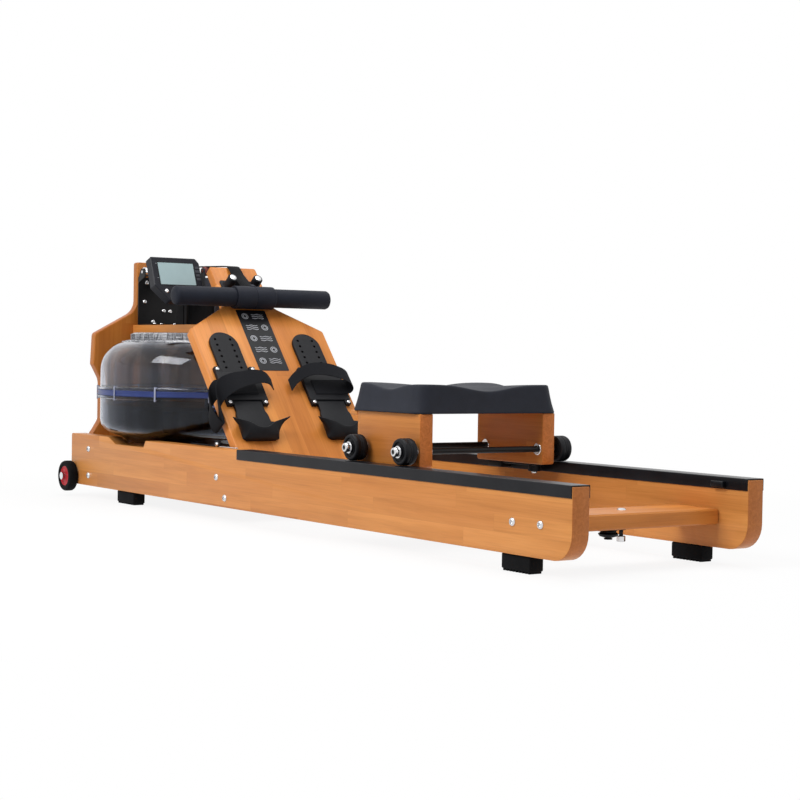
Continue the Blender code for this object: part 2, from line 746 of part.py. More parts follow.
# Return pulley under the rear cross board
recoil = block("recoil_bracket", (0.885, -0.075, 0.0745), (0.945, 0.024, 0.0777), "black_steel", 0.0006)
pin = [(0, 0.075), (0.004, 0.075), (0.004, 0.0558), (0.008, 0.0558), (0.008, 0.0535), (0, 0.0535)]
combine(recoil, turned("pin", pin, None, at(0.915, -0.028, 0), 16), "UNION")
nut = [(0, 0.075), (0.009, 0.075), (0.009, 0.070), (0.004, 0.070)]
nut += [(0.004, 0.058), (0.0078, 0.058), (0.0078, 0.048), (0, 0.048)]
combine(recoil, turned("nut", nut, None, at(0.915, 0.004, 0), 6), "UNION")
pulley = [
    (0.0045, 0.0740),
    (0.0195, 0.0740),
    (0.0195, 0.0725),
    (0.0150, 0.0690),
    (0.0150, 0.0675),
    (0.0195, 0.0640),
    (0.0165, 0.0595),
    (0.0045, 0.0561),
]
turned("recoil_pulley", pulley, "black_plastic", at(0.915, -0.028, 0), 24, ring=True)

# Seat: side boards, support board, axles, wheels and guides
SEAT_SIDE = [
    (0.280, 0.165, 0.006),
    (0.508, 0.165, 0.006),
    (0.508, SEAT_SIDE_TOP_Z, 0.002),
    (0.280, SEAT_SIDE_TOP_Z, 0.002),
]
for side, sign in SIDES:
    low, high = side_span(sign, 0.143, 0.175)
    board = prism(f"seat_side_{side}", rounded(SEAT_SIDE, 3), "y", low, high, "wood", 0.0015)
    for x in AXLE_X.values():
        drill(board, across(x, (low + high) / 2, AXLE_Z), 0.0068, 0.03)
SUPPORT = ((0.270, -0.172, SEAT_SIDE_TOP_Z + GAP), (0.500, 0.172, 0.2855))
block("seat_board", *SUPPORT, "wood", 0.0015)
for end, x in AXLE_X.items():
    tip = [(0, AXLE_HALF), (0.0085, AXLE_HALF), (0.0085, 0.2162), (0.0065, 0.2162)]
    tip += [(r, -z) for r, z in reversed(tip)]
    turned(f"seat_axle_{end}", tip, "black_steel", across(x, 0, AXLE_Z), 16)
    for side, sign in SIDES:
        turned(
            f"seat_wheel_{end}_{side}",
            wheel_profile(SEAT_WHEEL_R, SEAT_WHEEL_HALF, 0.0068, 0.016, 0.0015),
            "wheel_rubber",
            across(x, sign * SEAT_WHEEL_Y, AXLE_Z),
            28,
            ring=True,
        )

# Moulded seat pad with a flared skirt, four raised corners and a dip in the middle of each side
PAD_X = (0.260, 0.513)
PAD_HALF_Y = 0.184
PAD_BOTTOM_Z = SEAT_SIDE_TOP_Z + GAP
PAD_TOP_Z = 0.3340
PAD_DIP = 0.0150
PAD_CORNER_R = 0.030


def pad_top(a, b):
    """Height of the crown at a share of the half length and half width."""
    ends = math.exp(-((b / 0.38) ** 2)) * (0.30 + 0.70 * abs(a) ** 1.5)
    sides = math.exp(-((a / 0.42) ** 2)) * (0.25 + 0.75 * abs(b) ** 1.5)
    return PAD_TOP_Z - PAD_DIP * (1 - (1 - ends) * (1 - 0.90 * sides))


def pad_outline(reach):
    """Points round the pad as shares of its half length and half width."""
    half_x = (PAD_X[1] - PAD_X[0]) / 2
    corners = [(half_x, PAD_HALF_Y), (-half_x, PAD_HALF_Y), (-half_x, -PAD_HALF_Y), (half_x, -PAD_HALF_Y)]
    path = rounded([(x, y, PAD_CORNER_R) for x, y in corners], 2)
    points = []
    for k, point in enumerate(path):
        after = path[(k + 1) % len(path)]
        count = max(1, round(math.dist(point, after) / reach))
        for s in range(count):
            x = point[0] + (after[0] - point[0]) * s / count
            y = point[1] + (after[1] - point[1]) * s / count
            points.append((x / half_x, y / PAD_HALF_Y))
    return points


def make_pad():
    shape = bmesh.new()
    middle_x = (PAD_X[0] + PAD_X[1]) / 2
    half_x = (PAD_X[1] - PAD_X[0]) / 2
    levels = [(1.0, 0.0), (1.0, 0.08), (0.945, 0.86), (0.930, 0.985), (0.900, 1.0)]
    levels += [(share, 1.0) for share in (0.76, 0.60, 0.42, 0.22)]
    rings = []
    for share, rise in levels:
        ring = []
        for a, b in pad_outline(0.024):
            z = PAD_BOTTOM_Z + rise * (pad_top(a * share, b * share) - PAD_BOTTOM_Z)
            ring.append(shape.verts.new((middle_x + a * share * half_x, b * share * PAD_HALF_Y, z)))
        rings.append(ring)
    for below, above in zip(rings, rings[1:]):
        for k in range(len(below)):
            n = (k + 1) % len(below)
            shape.faces.new((below[k], below[n], above[n], above[k]))
    middle = shape.verts.new((middle_x, 0.0, pad_top(0, 0)))
    for k in range(len(rings[-1])):
        shape.faces.new((rings[-1][k], rings[-1][(k + 1) % len(rings[-1])], middle))
    shape.faces.new(list(reversed(rings[0])))
    for face in shape.faces:
        face.smooth = True
    mesh = bpy.data.meshes.new("seat_pad")
    shape.to_mesh(mesh)
    shape.free()
    pad = add("seat_pad", mesh, "seat_skin")
    low = [value - 3 * GAP for value in SUPPORT[0][:2]]
    high = [value + 3 * GAP for value in SUPPORT[1][:2]]
    pocket = block("pocket", (*low, PAD_BOTTOM_Z - 0.01), (*high, SUPPORT[1][2] + GAP), None)
    combine(pad, pocket, "DIFFERENCE")


make_pad()

# Monitor: housing with a window, four buttons and a tilting bracket
MONITOR_DEPTH = 0.028
FACE = rounded(
    [
        (-0.046, -0.0695, 0.004),
        (-0.046, 0.0600, 0.004),
        (-0.033, 0.0695, 0.004),
        (0.033, 0.0695, 0.006),
        (0.0745, 0.0330, 0.008),
        (0.0745, -0.0330, 0.008),
        (0.033, -0.0695, 0.006),
    ],
    3,
)
PIVOT = (0.008, -MONITOR_DEPTH - 0.012)
housing = prism("monitor_housing", FACE, "z", -MONITOR_DEPTH, 0.0, "black_plastic", 0.002, on_monitor(0, 0, 0))
WINDOW = (-0.031, -0.0515, 0.030, 0.0505)
frame_cut = block(
    "window",
    (WINDOW[0], WINDOW[1], -0.0014),
    (WINDOW[2], WINDOW[3], 0.002),
    None,
    0,
    on_monitor(0, 0, 0),
)
combine(housing, frame_cut, "DIFFERENCE")
BUTTON_A = (-0.019, -0.0085, 0.002, 0.0125)
BUTTON_Y = 0.0602
BUTTON_HALF = (0.0037, 0.0055)
for k, a in enumerate(BUTTON_A):
    pocket = block(
        "pocket",
        (a - BUTTON_HALF[0] - 0.0004, BUTTON_Y - BUTTON_HALF[1] - 0.0004, -0.0035),
        (a + BUTTON_HALF[0] + 0.0004, BUTTON_Y + BUTTON_HALF[1] + 0.0004, 0.002),
        None,
        0,
        on_monitor(0, 0, 0),
    )
    combine(housing, pocket, "DIFFERENCE")
    block(
        f"monitor_button_{k + 1}",
        (-BUTTON_HALF[0], -BUTTON_HALF[1], -0.0020),
        (BUTTON_HALF[0], BUTTON_HALF[1], 0.0014),
        "grey_plastic",
        0.0005,
        on_monitor(a, BUTTON_Y, 0),
    )
boss_place = on_monitor(PIVOT[0], 0, PIVOT[1]) @ Matrix.Rotation(-math.pi / 2, 4, "X")
web = block(
    "web",
    (PIVOT[0] - 0.008, -0.018, PIVOT[1]),
    (PIVOT[0] + 0.008, 0.030, -MONITOR_DEPTH + 0.002),
    None,
    0,
    on_monitor(0, 0, 0),
)
combine(housing, web, "UNION")
boss = turned("boss", [(0, 0.030), (0.008, 0.030), (0.008, -0.018), (0, -0.018)], None, boss_place, 20)
combine(housing, boss, "UNION")
combine(
    housing,
    turned("pin", [(0, 0.0), (0.004, 0.0), (0.004, 0.040), (0, 0.040)][::-1], None, boss_place, 16),
    "UNION",
)
block(
    "monitor_lens",
    (WINDOW[0] + GAP, WINDOW[1] + GAP, -0.0011),
    (WINDOW[2] - GAP, WINDOW[3] - GAP, -0.0001),
    "display",
    0,
    on_monitor(0, 0, 0),
)
pivot = on_monitor(PIVOT[0], 0, PIVOT[1]).translation
STRUT = rounded(
    [
        (pivot.x - 0.034, SHELF_TOP_Z + GAP, 0),
        (pivot.x + 0.009, SHELF_TOP_Z + GAP, 0),
        (pivot.x + 0.009, pivot.z + 0.009, 0.0085),
        (pivot.x - 0.009, pivot.z + 0.009, 0.0085),
    ],
    4,
)
strut = prism("monitor_bracket", STRUT, "y", -0.0740, -0.0710, "black_steel", 0.0006)
drill(strut, across(pivot.x, -0.0725, pivot.z), 0.0043, 0.006)

# Report of the pieces and their weight in triangles
bpy.context.view_layer.update()
total = 0
for made in sorted(PARTS.objects, key=lambda ob: ob.name):
    shown = made.evaluated_get(bpy.context.evaluated_depsgraph_get())
    mesh = shown.to_mesh()
    mesh.calc_loop_triangles()
    total += len(mesh.loop_triangles)
    shown.to_mesh_clear()
print("nodes", len(PARTS.objects), "triangles", total)
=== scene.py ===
"""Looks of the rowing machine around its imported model, in metres."""

import math

import bmesh
import bpy
from mathutils import Matrix, Vector


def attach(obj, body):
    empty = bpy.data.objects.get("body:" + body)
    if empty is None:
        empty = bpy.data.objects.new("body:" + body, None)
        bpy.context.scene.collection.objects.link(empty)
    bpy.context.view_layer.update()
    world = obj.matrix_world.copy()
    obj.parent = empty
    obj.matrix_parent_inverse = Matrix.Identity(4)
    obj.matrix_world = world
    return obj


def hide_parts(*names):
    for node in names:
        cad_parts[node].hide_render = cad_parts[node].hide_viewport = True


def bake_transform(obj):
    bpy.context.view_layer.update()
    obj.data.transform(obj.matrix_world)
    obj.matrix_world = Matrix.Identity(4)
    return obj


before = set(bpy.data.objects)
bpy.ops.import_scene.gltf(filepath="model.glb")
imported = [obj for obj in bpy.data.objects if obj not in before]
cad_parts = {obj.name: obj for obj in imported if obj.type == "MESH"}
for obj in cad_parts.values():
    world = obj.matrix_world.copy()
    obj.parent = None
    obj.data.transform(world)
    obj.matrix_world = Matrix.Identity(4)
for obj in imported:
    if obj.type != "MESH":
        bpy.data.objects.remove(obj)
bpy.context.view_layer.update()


def add_object(name, data):
    made = bpy.data.objects.new(name, data)
    bpy.context.scene.collection.objects.link(made)
    return made


def at(x, y, z):
    return Matrix.Translation((x, y, z))


# Camera, set before the pieces
YAW = 0.964
PITCH = 0.026
ROLL = 0.016
LENS = 81
CAMERA_AT = Vector((3.455, -2.271, 0.396))
ahead = Vector((-math.sin(YAW) * math.cos(PITCH), math.cos(YAW) * math.cos(PITCH), -math.sin(PITCH)))
level = Vector((math.cos(YAW), math.sin(YAW), 0))
upright = level.cross(ahead)
cam_right = level * math.cos(ROLL) + upright * math.sin(ROLL)
cam_up = upright * math.cos(ROLL) - level * math.sin(ROLL)
camera = add_object("camera", bpy.data.cameras.new("camera"))
camera.data.lens = LENS
camera.data.sensor_width = 36
camera.data.clip_end = 60
turn = Matrix((cam_right, cam_up, -ahead)).transposed().to_4x4()
camera.matrix_world = at(*CAMERA_AT) @ turn
bpy.context.scene.camera = camera
bpy.context.scene.view_settings.view_transform = "Standard"

# Places and sizes shared with the solids
SIDES = (("left", -1), ("right", 1))
GAP = 0.0003
TANK_X = -0.6985
SLOPE = math.radians(49.9)
MONITOR_TILT = math.radians(68)
ROW = Matrix.Identity(4)
TANK = at(TANK_X, 0, 0)
FOOTBOARD = at(-0.578, 0, 0.608) @ Matrix.Rotation(SLOPE, 4, "Y")
MONITOR = at(-0.675, -0.1065, 0.59) @ Matrix.Rotation(MONITOR_TILT, 4, "Y")
RAIL_FRONT_X, RAIL_REAR_X = -1.025, 1.055
RAIL_INNER_Y, RAIL_OUTER_Y = 0.196, 0.235
RAIL_BOTTOM_Z, RAIL_TOP_Z = 0.033, 0.1675
COVER_FRONT_X, COVER_REAR_X = -0.125, 1.053
COVER_BOTTOM_Z, COVER_TOP_Z = 0.147, 0.17
COVER_WALL = 0.0021
FOOT_Y = 0.118
BELT_HALF, BELT_T = 0.018, 0.0016


def across(x, y, z, sign=1):
    """A place whose Z axis is the row's Y axis, or against it."""
    return at(x, y, z) @ Matrix.Rotation(-sign * math.pi / 2, 4, "X")


def spun(angle):
    """A turn about the upright axis."""
    return Matrix.Rotation(angle, 4, "Z")


def span(sign, near, far):
    """The low and high Y of a span given by its distances from the middle plane."""
    return (near, far) if sign > 0 else (-far, -near)


# Materials


def tint(colour, share):
    return tuple(c * share for c in colour)


SOCKETS = {
    "colour": "Base Color",
    "rough": "Roughness",
    "metal": "Metallic",
    "coat": "Coat Weight",
    "coat_rough": "Coat Roughness",
    "sheen": "Sheen Weight",
    "sheen_rough": "Sheen Roughness",
    "specular": "Specular IOR Level",
    "ior": "IOR",
    "clear": "Transmission Weight",
}


class Nodes:
    """The node tree of a material or of the world, with short calls."""

    def __init__(self, owner):
        owner.use_nodes = True
        self.owner = owner
        self.tree = owner.node_tree
        self.shader = self.tree.nodes.get("Principled BSDF")

    def put(self, socket, value):
        """Links another socket, or sets a number or a colour."""
        if isinstance(value, bpy.types.NodeSocket):
            self.tree.links.new(value, socket)
        else:
            socket.default_value = (*value, 1.0) if socket.type == "RGBA" else value

    def new(self, kind, inputs=(), **settings):
        node = self.tree.nodes.new(kind)
        for key, value in settings.items():
            setattr(node, key, value)
        for key, value in dict(inputs).items():
            self.put(node.inputs[key], value)
        return node

    def math(self, operation, a, b=0.0, c=0.0):
        return self.new("ShaderNodeMath", {0: a, 1: b, 2: c}, operation=operation).outputs[0]

    def times(self, a, b):
        return self.math("MULTIPLY", a, b)

    def mix(self, share, a, b, blend="MIX"):
        inputs = {0: share, 6: a, 7: b}
        return self.new("ShaderNodeMix", inputs, data_type="RGBA", blend_type=blend).outputs[2]

    def remap(self, value, low=0.0, high=1.0, start=0.0, stop=1.0):
        """Spreads the values from start to stop over low to high."""
        return self.new("ShaderNodeMapRange", {0: value, 1: start, 2: stop, 3: low, 4: high}).outputs[0]

    def set(self, **values):
        for key, value in values.items():
            self.put(self.shader.inputs[SOCKETS[key]], value)

    def bump(self, height, strength, distance):
        node = self.new("ShaderNodeBump", {"Height": height, "Strength": strength, "Distance": distance})
        self.tree.links.new(node.outputs[0], self.shader.inputs["Normal"])

    def where(self):
        return self.new("ShaderNodeTexCoord").outputs["Object"]

    def axes(self):
        """The three coordinates of a place on the piece."""
        return self.new("ShaderNodeSeparateXYZ", {0: self.where()}).outputs

    def place(self, x, y, z):
        return self.new("ShaderNodeCombineXYZ", {0: x, 1: y, 2: z}).outputs[0]

    def squat(self, share):
        """A place with its height drawn out, for upright streaks."""
        x, y, z = self.axes()
        return self.place(x, y, self.times(z, share))

    def noise(self, vector, scale, detail=3.0, rough=0.5, distortion=0.0):
        inputs = {"Vector": vector, "Scale": scale, "Detail": detail, "Roughness": rough}
        return self.new("ShaderNodeTexNoise", {**inputs, "Distortion": distortion}).outputs[0]

    def ramp(self, value, stops):
        node = self.new("ShaderNodeValToRGB", {0: value})
        while len(node.color_ramp.elements) < len(stops):
            node.color_ramp.elements.new(0.5)
        for element, (position, colour) in zip(node.color_ramp.elements, stops):
            element.position = position
            element.color = (*colour, 1.0) if isinstance(colour, tuple) else (colour, colour, colour, 1.0)
        return node.outputs[0]

    def plain_ray(self):
        """1 for a ray that shows the white surround: seen, through glass or off gloss."""
        ray = self.new("ShaderNodeLightPath").outputs
        seen = self.math("MAXIMUM", ray["Is Camera Ray"], ray["Is Transmission Ray"])
        return self.math("MAXIMUM", seen, ray["Is Glossy Ray"])


def material(name):
    return Nodes(bpy.data.materials.new(name))


def wood(name, along, wide, stave=0.034, piece=0.46, light=1.0, seed=0.0, warm=0.0, ends=1.0):
    """Lacquered board of glued staves. along and wide are the axes of the grain and of the width."""
    n = material(name)
    parts = n.axes()
    length = parts[along]
    width = n.math("ADD", parts[wide], 1.0 + seed * 0.37)
    depth = parts[3 - along - wide]
    row = n.math("FLOOR", n.math("DIVIDE", width, stave))
    jump = n.new("ShaderNodeTexWhiteNoise", {"W": n.math("ADD", row, 3.7 + seed)}, noise_dimensions="1D")
    along_row = n.math("ADD", n.math("DIVIDE", length, piece), n.times(jump.outputs[0], 5.0))
    key = n.place(n.math("FLOOR", along_row), row, seed)
    tone = n.new("ShaderNodeTexWhiteNoise", {"Vector": key}, noise_dimensions="3D").outputs[0]
    shifted = n.math("MULTIPLY_ADD", tone, 9.0, length)

    def stretched(slow, fast):
        """A place drawn out along the grain."""
        return n.place(n.times(shifted, slow), n.times(width, fast), n.times(depth, fast))

    grain = n.noise(stretched(1.6, 22.0), 1.0, 5.0, 0.62, 0.6)
    pores = n.noise(stretched(9.0, 330.0), 1.0, 3.0, 0.6)
    cloud = n.noise(n.where(), 3.2, 2.0, 0.5)
    green = 1.0 - 0.13 * warm
    blue = 1.0 - 0.36 * warm
    stops = ((0.25, (0.52, 0.197, 0.044)), (0.5, (0.665, 0.27, 0.067)), (0.78, (0.75, 0.33, 0.096)))
    toned = n.ramp(grain, [(s, (r * light, g * light * green, b * light * blue)) for s, (r, g, b) in stops])
    staves = [(0.0, (0.86, 0.8, 0.74)), (0.5, 0.98), (1.0, (1.06, 1.08, 1.1))]
    for share, value, tones in (
        (1.0, tone, staves),
        (1.0, cloud, [(0.3, (0.93, 0.87, 0.8)), (0.62, 1.0)]),
        (0.35, pores, [(0.3, (0.74, 0.66, 0.58)), (0.55, 1.0)]),
    ):
        toned = n.mix(share, toned, n.ramp(value, tones), "MULTIPLY")
    edge_w = n.math("ABSOLUTE", n.math("SUBTRACT", n.math("FRACT", n.math("DIVIDE", width, stave)), 0.5))
    edge_l = n.math("ABSOLUTE", n.math("SUBTRACT", n.math("FRACT", along_row), 0.5))
    seam = n.math("MAXIMUM", n.math("GREATER_THAN", edge_w, 0.49), n.math("GREATER_THAN", edge_l, 0.4985))
    toned = n.mix(n.times(seam, 0.16), toned, (0.34, 0.13, 0.04))
    facing = n.new("ShaderNodeSeparateXYZ", {0: n.new("ShaderNodeTexCoord").outputs["Normal"]}).outputs[along]
    end = n.remap(n.math("ABSOLUTE", facing), start=0.2, stop=0.7)
    rings = n.noise(n.where(), 90.0, 4.0, 0.7, 1.5)
    end_stops = ((0.3, (0.32, 0.088, 0.014)), (0.7, (0.5, 0.155, 0.034)))
    end_grain = n.ramp(rings, [(s, tint(colour, ends)) for s, colour in end_stops])
    toned = n.mix(n.times(end, 0.85), toned, end_grain)
    n.set(colour=toned, rough=n.remap(pores, 0.36, 0.48), specular=0.2, coat=0.12, coat_rough=0.22)
    n.bump(n.math("MULTIPLY_ADD", grain, 0.5, n.times(pores, 0.5)), 0.1, 0.0006)
    return n.owner


def moulded(name, colour, rough, grain=1400.0, depth=0.00012, coat=0.0, vary=0.12, shine=0.18):
    """Moulded plastic or rubber with a fine skin."""
    n = material(name)
    where = n.where()
    skin = n.noise(where, grain, 3.0, 0.6)
    wear = n.noise(where, 14.0, 4.0, 0.6)
    pale = tuple(min(1.0, c * (1 + vary) + 0.004) for c in colour)
    n.set(
        colour=n.ramp(wear, [(0.35, tint(colour, 1 - vary)), (0.65, pale)]),
        rough=n.remap(wear, rough - 0.05, rough + 0.07),
        specular=shine,
        coat=coat,
        coat_rough=0.2,
    )
    n.bump(skin, 0.35, depth)
    return n.owner


def metal(name, colour, rough, brushed=0.0):
    n = material(name)
    where = n.where()
    marks = n.noise(where, 55.0, 4.0, 0.6)
    n.set(
        colour=n.ramp(marks, [(0.3, tint(colour, 0.93)), (0.7, colour)]),
        rough=n.remap(marks, rough * 0.7, rough * 1.4),
        metal=1.0,
    )
    if brushed:
        n.bump(n.noise(where, 900.0, 2.0), brushed, 0.0001)
    return n.owner


def webbing(name, colour, pitch=0.0024):
    """Woven strap along its X axis: rows across its width with a twill between them."""
    n = material(name)
    along, wide, _ = n.axes()
    rows = n.math("SINE", n.times(wide, math.tau / pitch))
    twill = n.math("SINE", n.math("MULTIPLY_ADD", along, math.tau / pitch * 0.6, n.times(rows, 1.2)))
    weave = n.math("MULTIPLY_ADD", rows, 0.25, n.math("MULTIPLY_ADD", twill, 0.25, 0.5))
    woven = n.mix(weave, tint(colour, 0.6), colour)
    n.set(colour=woven, rough=0.82, specular=0.15, sheen=0.03, sheen_rough=0.5)
    n.bump(weave, 0.5, 0.0004)
    return n.owner


def foam_skin(name, colour):
    """Closed-cell foam."""
    n = material(name)
    where = n.where()
    cells = n.new("ShaderNodeTexVoronoi", {"Vector": where, "Scale": 900.0}).outputs[0]
    soft = n.ramp(n.noise(where, 30.0, 4.0, 0.6), [(0.3, tint(colour, 0.85)), (0.7, tint(colour, 1.15))])
    n.set(colour=soft, rough=0.62, specular=0.18, sheen=0.03, sheen_rough=0.5)
    n.bump(cells, 0.45, 0.0003)
    return n.owner


def clear(name, colour, rough, ior, reflection_dark):
    """Clear plastic or water with darker upright bands painted into its colour as reflections."""
    n = material(name)
    ripple = n.noise(n.where(), 9.0, 3.0, 0.5)
    # Painted reflection: darker upright bands mixed into the colour
    painted_reflection_bands = n.noise(n.squat(0.2), 15.0, 2.0, 0.5, 0.3)
    n.set(colour=n.ramp(painted_reflection_bands, [(0.4, reflection_dark), (0.6, colour)]), rough=rough, ior=ior, clear=1.0)
    n.bump(ripple, 0.1, 0.0015)
    return n.owner


def streaked(name, stops):
    """Half-clear plastic with upright moulded streaks, coloured pale and dark as a painted silvery sheen."""
    n = material(name)
    # The streaks' bump is moulded texture; their pale and dark colours are painted sheen
    sheen_streaks = n.noise(n.squat(0.25), 75.0, 4.0, 0.75, 0.8)
    n.set(colour=n.ramp(sheen_streaks, stops), rough=0.2, ior=1.45, clear=0.35, coat=0.6, coat_rough=0.08)
    n.bump(sheen_streaks, 0.5, 0.002)
    return n.owner


WOOD_RAIL = wood("wood_rail", 0, 2, 0.0335, 0.4, 0.98, 1.0)
WOOD_UPRIGHT = wood("wood_upright", 2, 1, 0.034, 0.42, 0.72, 2.0, 1.0)
WOOD_SLOPE = wood("wood_slope", 0, 1, 0.046, 0.9, 1.04, 5.0, 0.75)
WOOD_SHELF = wood("wood_shelf", 0, 1, 0.034, 0.42, 0.98, 3.0, 0.3)
WOOD_CROSS = wood("wood_cross", 1, 0, 0.034, 0.6, 0.98, 4.0, 0.7)
# Base board wood darkened to light 0.36, a painted shade for the dark space under the tank and in the rail
# notches
WOOD_BASE_SHADED = wood("wood_base_painted_shade", 1, 0, 0.034, 0.6, 0.36, 7.0, 0.5)
WOOD_SEAT = wood("wood_seat", 0, 2, 0.033, 0.4, 0.88, 6.0, 0.5, 1.45)
BLACK = moulded("black_moulded", (0.0036, 0.0039, 0.0058), 0.5)
BLACK_SATIN = moulded("black_satin", (0.003, 0.003, 0.0036), 0.38, 900.0, 0.00005)
BLACK_RUBBER = moulded("rubber", (0.003, 0.003, 0.0036), 0.7, 700.0, 0.0002, shine=0.08)
COVER = moulded("cover_plastic", (0.0036, 0.004, 0.0062), 0.3, 1200.0, 0.00004)
GREY = moulded("grey_moulded", (0.042, 0.043, 0.052), 0.48)
RED = moulded("dull_red", (0.26, 0.08, 0.072), 0.5)
RED_HUB = moulded("hub_red", (0.42, 0.012, 0.022), 0.3)
STEEL = metal("bright_steel", (0.7, 0.7, 0.71), 0.2, 0.15)
CHROME = metal("chrome", (0.78, 0.78, 0.8), 0.09)
FOAM = foam_skin("grip_foam", (0.006, 0.0078, 0.015))
SLEEVE = moulded("sleeve_rubber", (0.0066, 0.0082, 0.0155), 0.58, 700.0, 0.0001)
PAD = foam_skin("seat_foam", (0.013, 0.015, 0.023))
WEBBING = webbing("strap_webbing", (0.005, 0.0055, 0.008))
BELT = webbing("belt_webbing", (0.0048, 0.005, 0.0065), 0.0018)
# Painted sheen: pale and dark colours of the neck plastic's streaks
SILVERY_SHEEN_STOPS = ((0.36, (0.1, 0.105, 0.12)), (0.5, (0.3, 0.31, 0.34)), (0.66, (0.8, 0.8, 0.83)))
NECK = streaked("neck_plastic", SILVERY_SHEEN_STOPS)
CLIP = moulded("clip_plastic", (0.3, 0.32, 0.42), 0.25, 600.0, 0.00005)
# The last colour of each clear finish is the tint of its painted reflection bands
SHELL = clear("tank_plastic", (0.72, 0.73, 0.8), 0.02, 1.45, (0.28, 0.31, 0.42))
BOWL = clear("bowl_plastic", (0.4, 0.44, 0.54), 0.02, 1.3, (0.24, 0.28, 0.36))
WATER = clear("tank_water_look", (0.18, 0.23, 0.31), 0.0, 1.33, (0.06, 0.085, 0.13))
SEAL = moulded("blue_seal", (0.026, 0.044, 0.17), 0.34, 900.0, 0.00005, 0.2)
MONITOR_CASE = moulded("monitor_case", (0.0095, 0.01, 0.015), 0.36, 1200.0, 0.00005)
DISPLAY = moulded("display", (0.33, 0.44, 0.455), 0.16, 600.0, 0.00002, 0.3, 0.03)
STICKER = moulded("sticker_black", (0.004, 0.0042, 0.006), 0.35, 500.0, 0.00003)
PALE_INK = moulded("sticker_pale", (0.46, 0.47, 0.5), 0.4, 500.0, 0.00003)


# Shapes


def mm(*points):
    """Points given in millimetres."""
    return [tuple(c / 1000 for c in point) for point in points]


def rounded(corners, steps=8):
    """An outline from corners that each state their own radius."""
    outline = []
    count = len(corners)
    for k, (a, b, radius) in enumerate(corners):
        here = Vector((a, b))
        before = (Vector(corners[k - 1][:2]) - here).normalized()
        after = (Vector(corners[(k + 1) % count][:2]) - here).normalized()
        if radius <= 0:
            outline.append((a, b))
            continue
        half = before.angle(after) / 2
        reach = radius / math.tan(half)
        middle = here + (before + after).normalized() * (radius / math.sin(half))
        start = here + before * reach - middle
        swing = start.angle_signed(here + after * reach - middle)
        for s in range(steps + 1):
            angle = -swing * s / steps
            x = start.x * math.cos(angle) - start.y * math.sin(angle)
            y = start.x * math.sin(angle) + start.y * math.cos(angle)
            outline.append((middle.x + x, middle.y + y))
    return outline


def mirrored(half):
    """Corners or points on one side of the middle line, and those across it."""
    return half + [(a, -b, c) for a, b, c in reversed(half)]


def both_ends(profile):
    """A turned profile and its mirror image below the middle."""
    return profile + [(r, -z) for r, z in reversed(profile)]


def arc(middle_r, middle_z, radius, first, last, steps):
    points = []
    for s in range(steps + 1):
        angle = math.radians(first + (last - first) * s / steps)
        points.append((middle_r + radius * math.cos(angle), middle_z + radius * math.sin(angle)))
    return points


def smooth_path(control, each):
    """A smooth path through control points."""
    path = [Vector(p) for p in control]
    ends = [path[0] * 2 - path[1]] + path + [path[-1] * 2 - path[-2]]
    points = []
    for k in range(len(path) - 1):
        a, b, c, d = ends[k : k + 4]
        for s in range(each):
            t = s / each
            bend = 2 * a - 5 * b + 4 * c - d
            twist = 3 * b - a - 3 * c + d
            points.append(0.5 * (2 * b + (c - a) * t + bend * t * t + twist * t**3))
    return points + [path[-1]]


SOFTEN_ANGLE = math.radians(32)


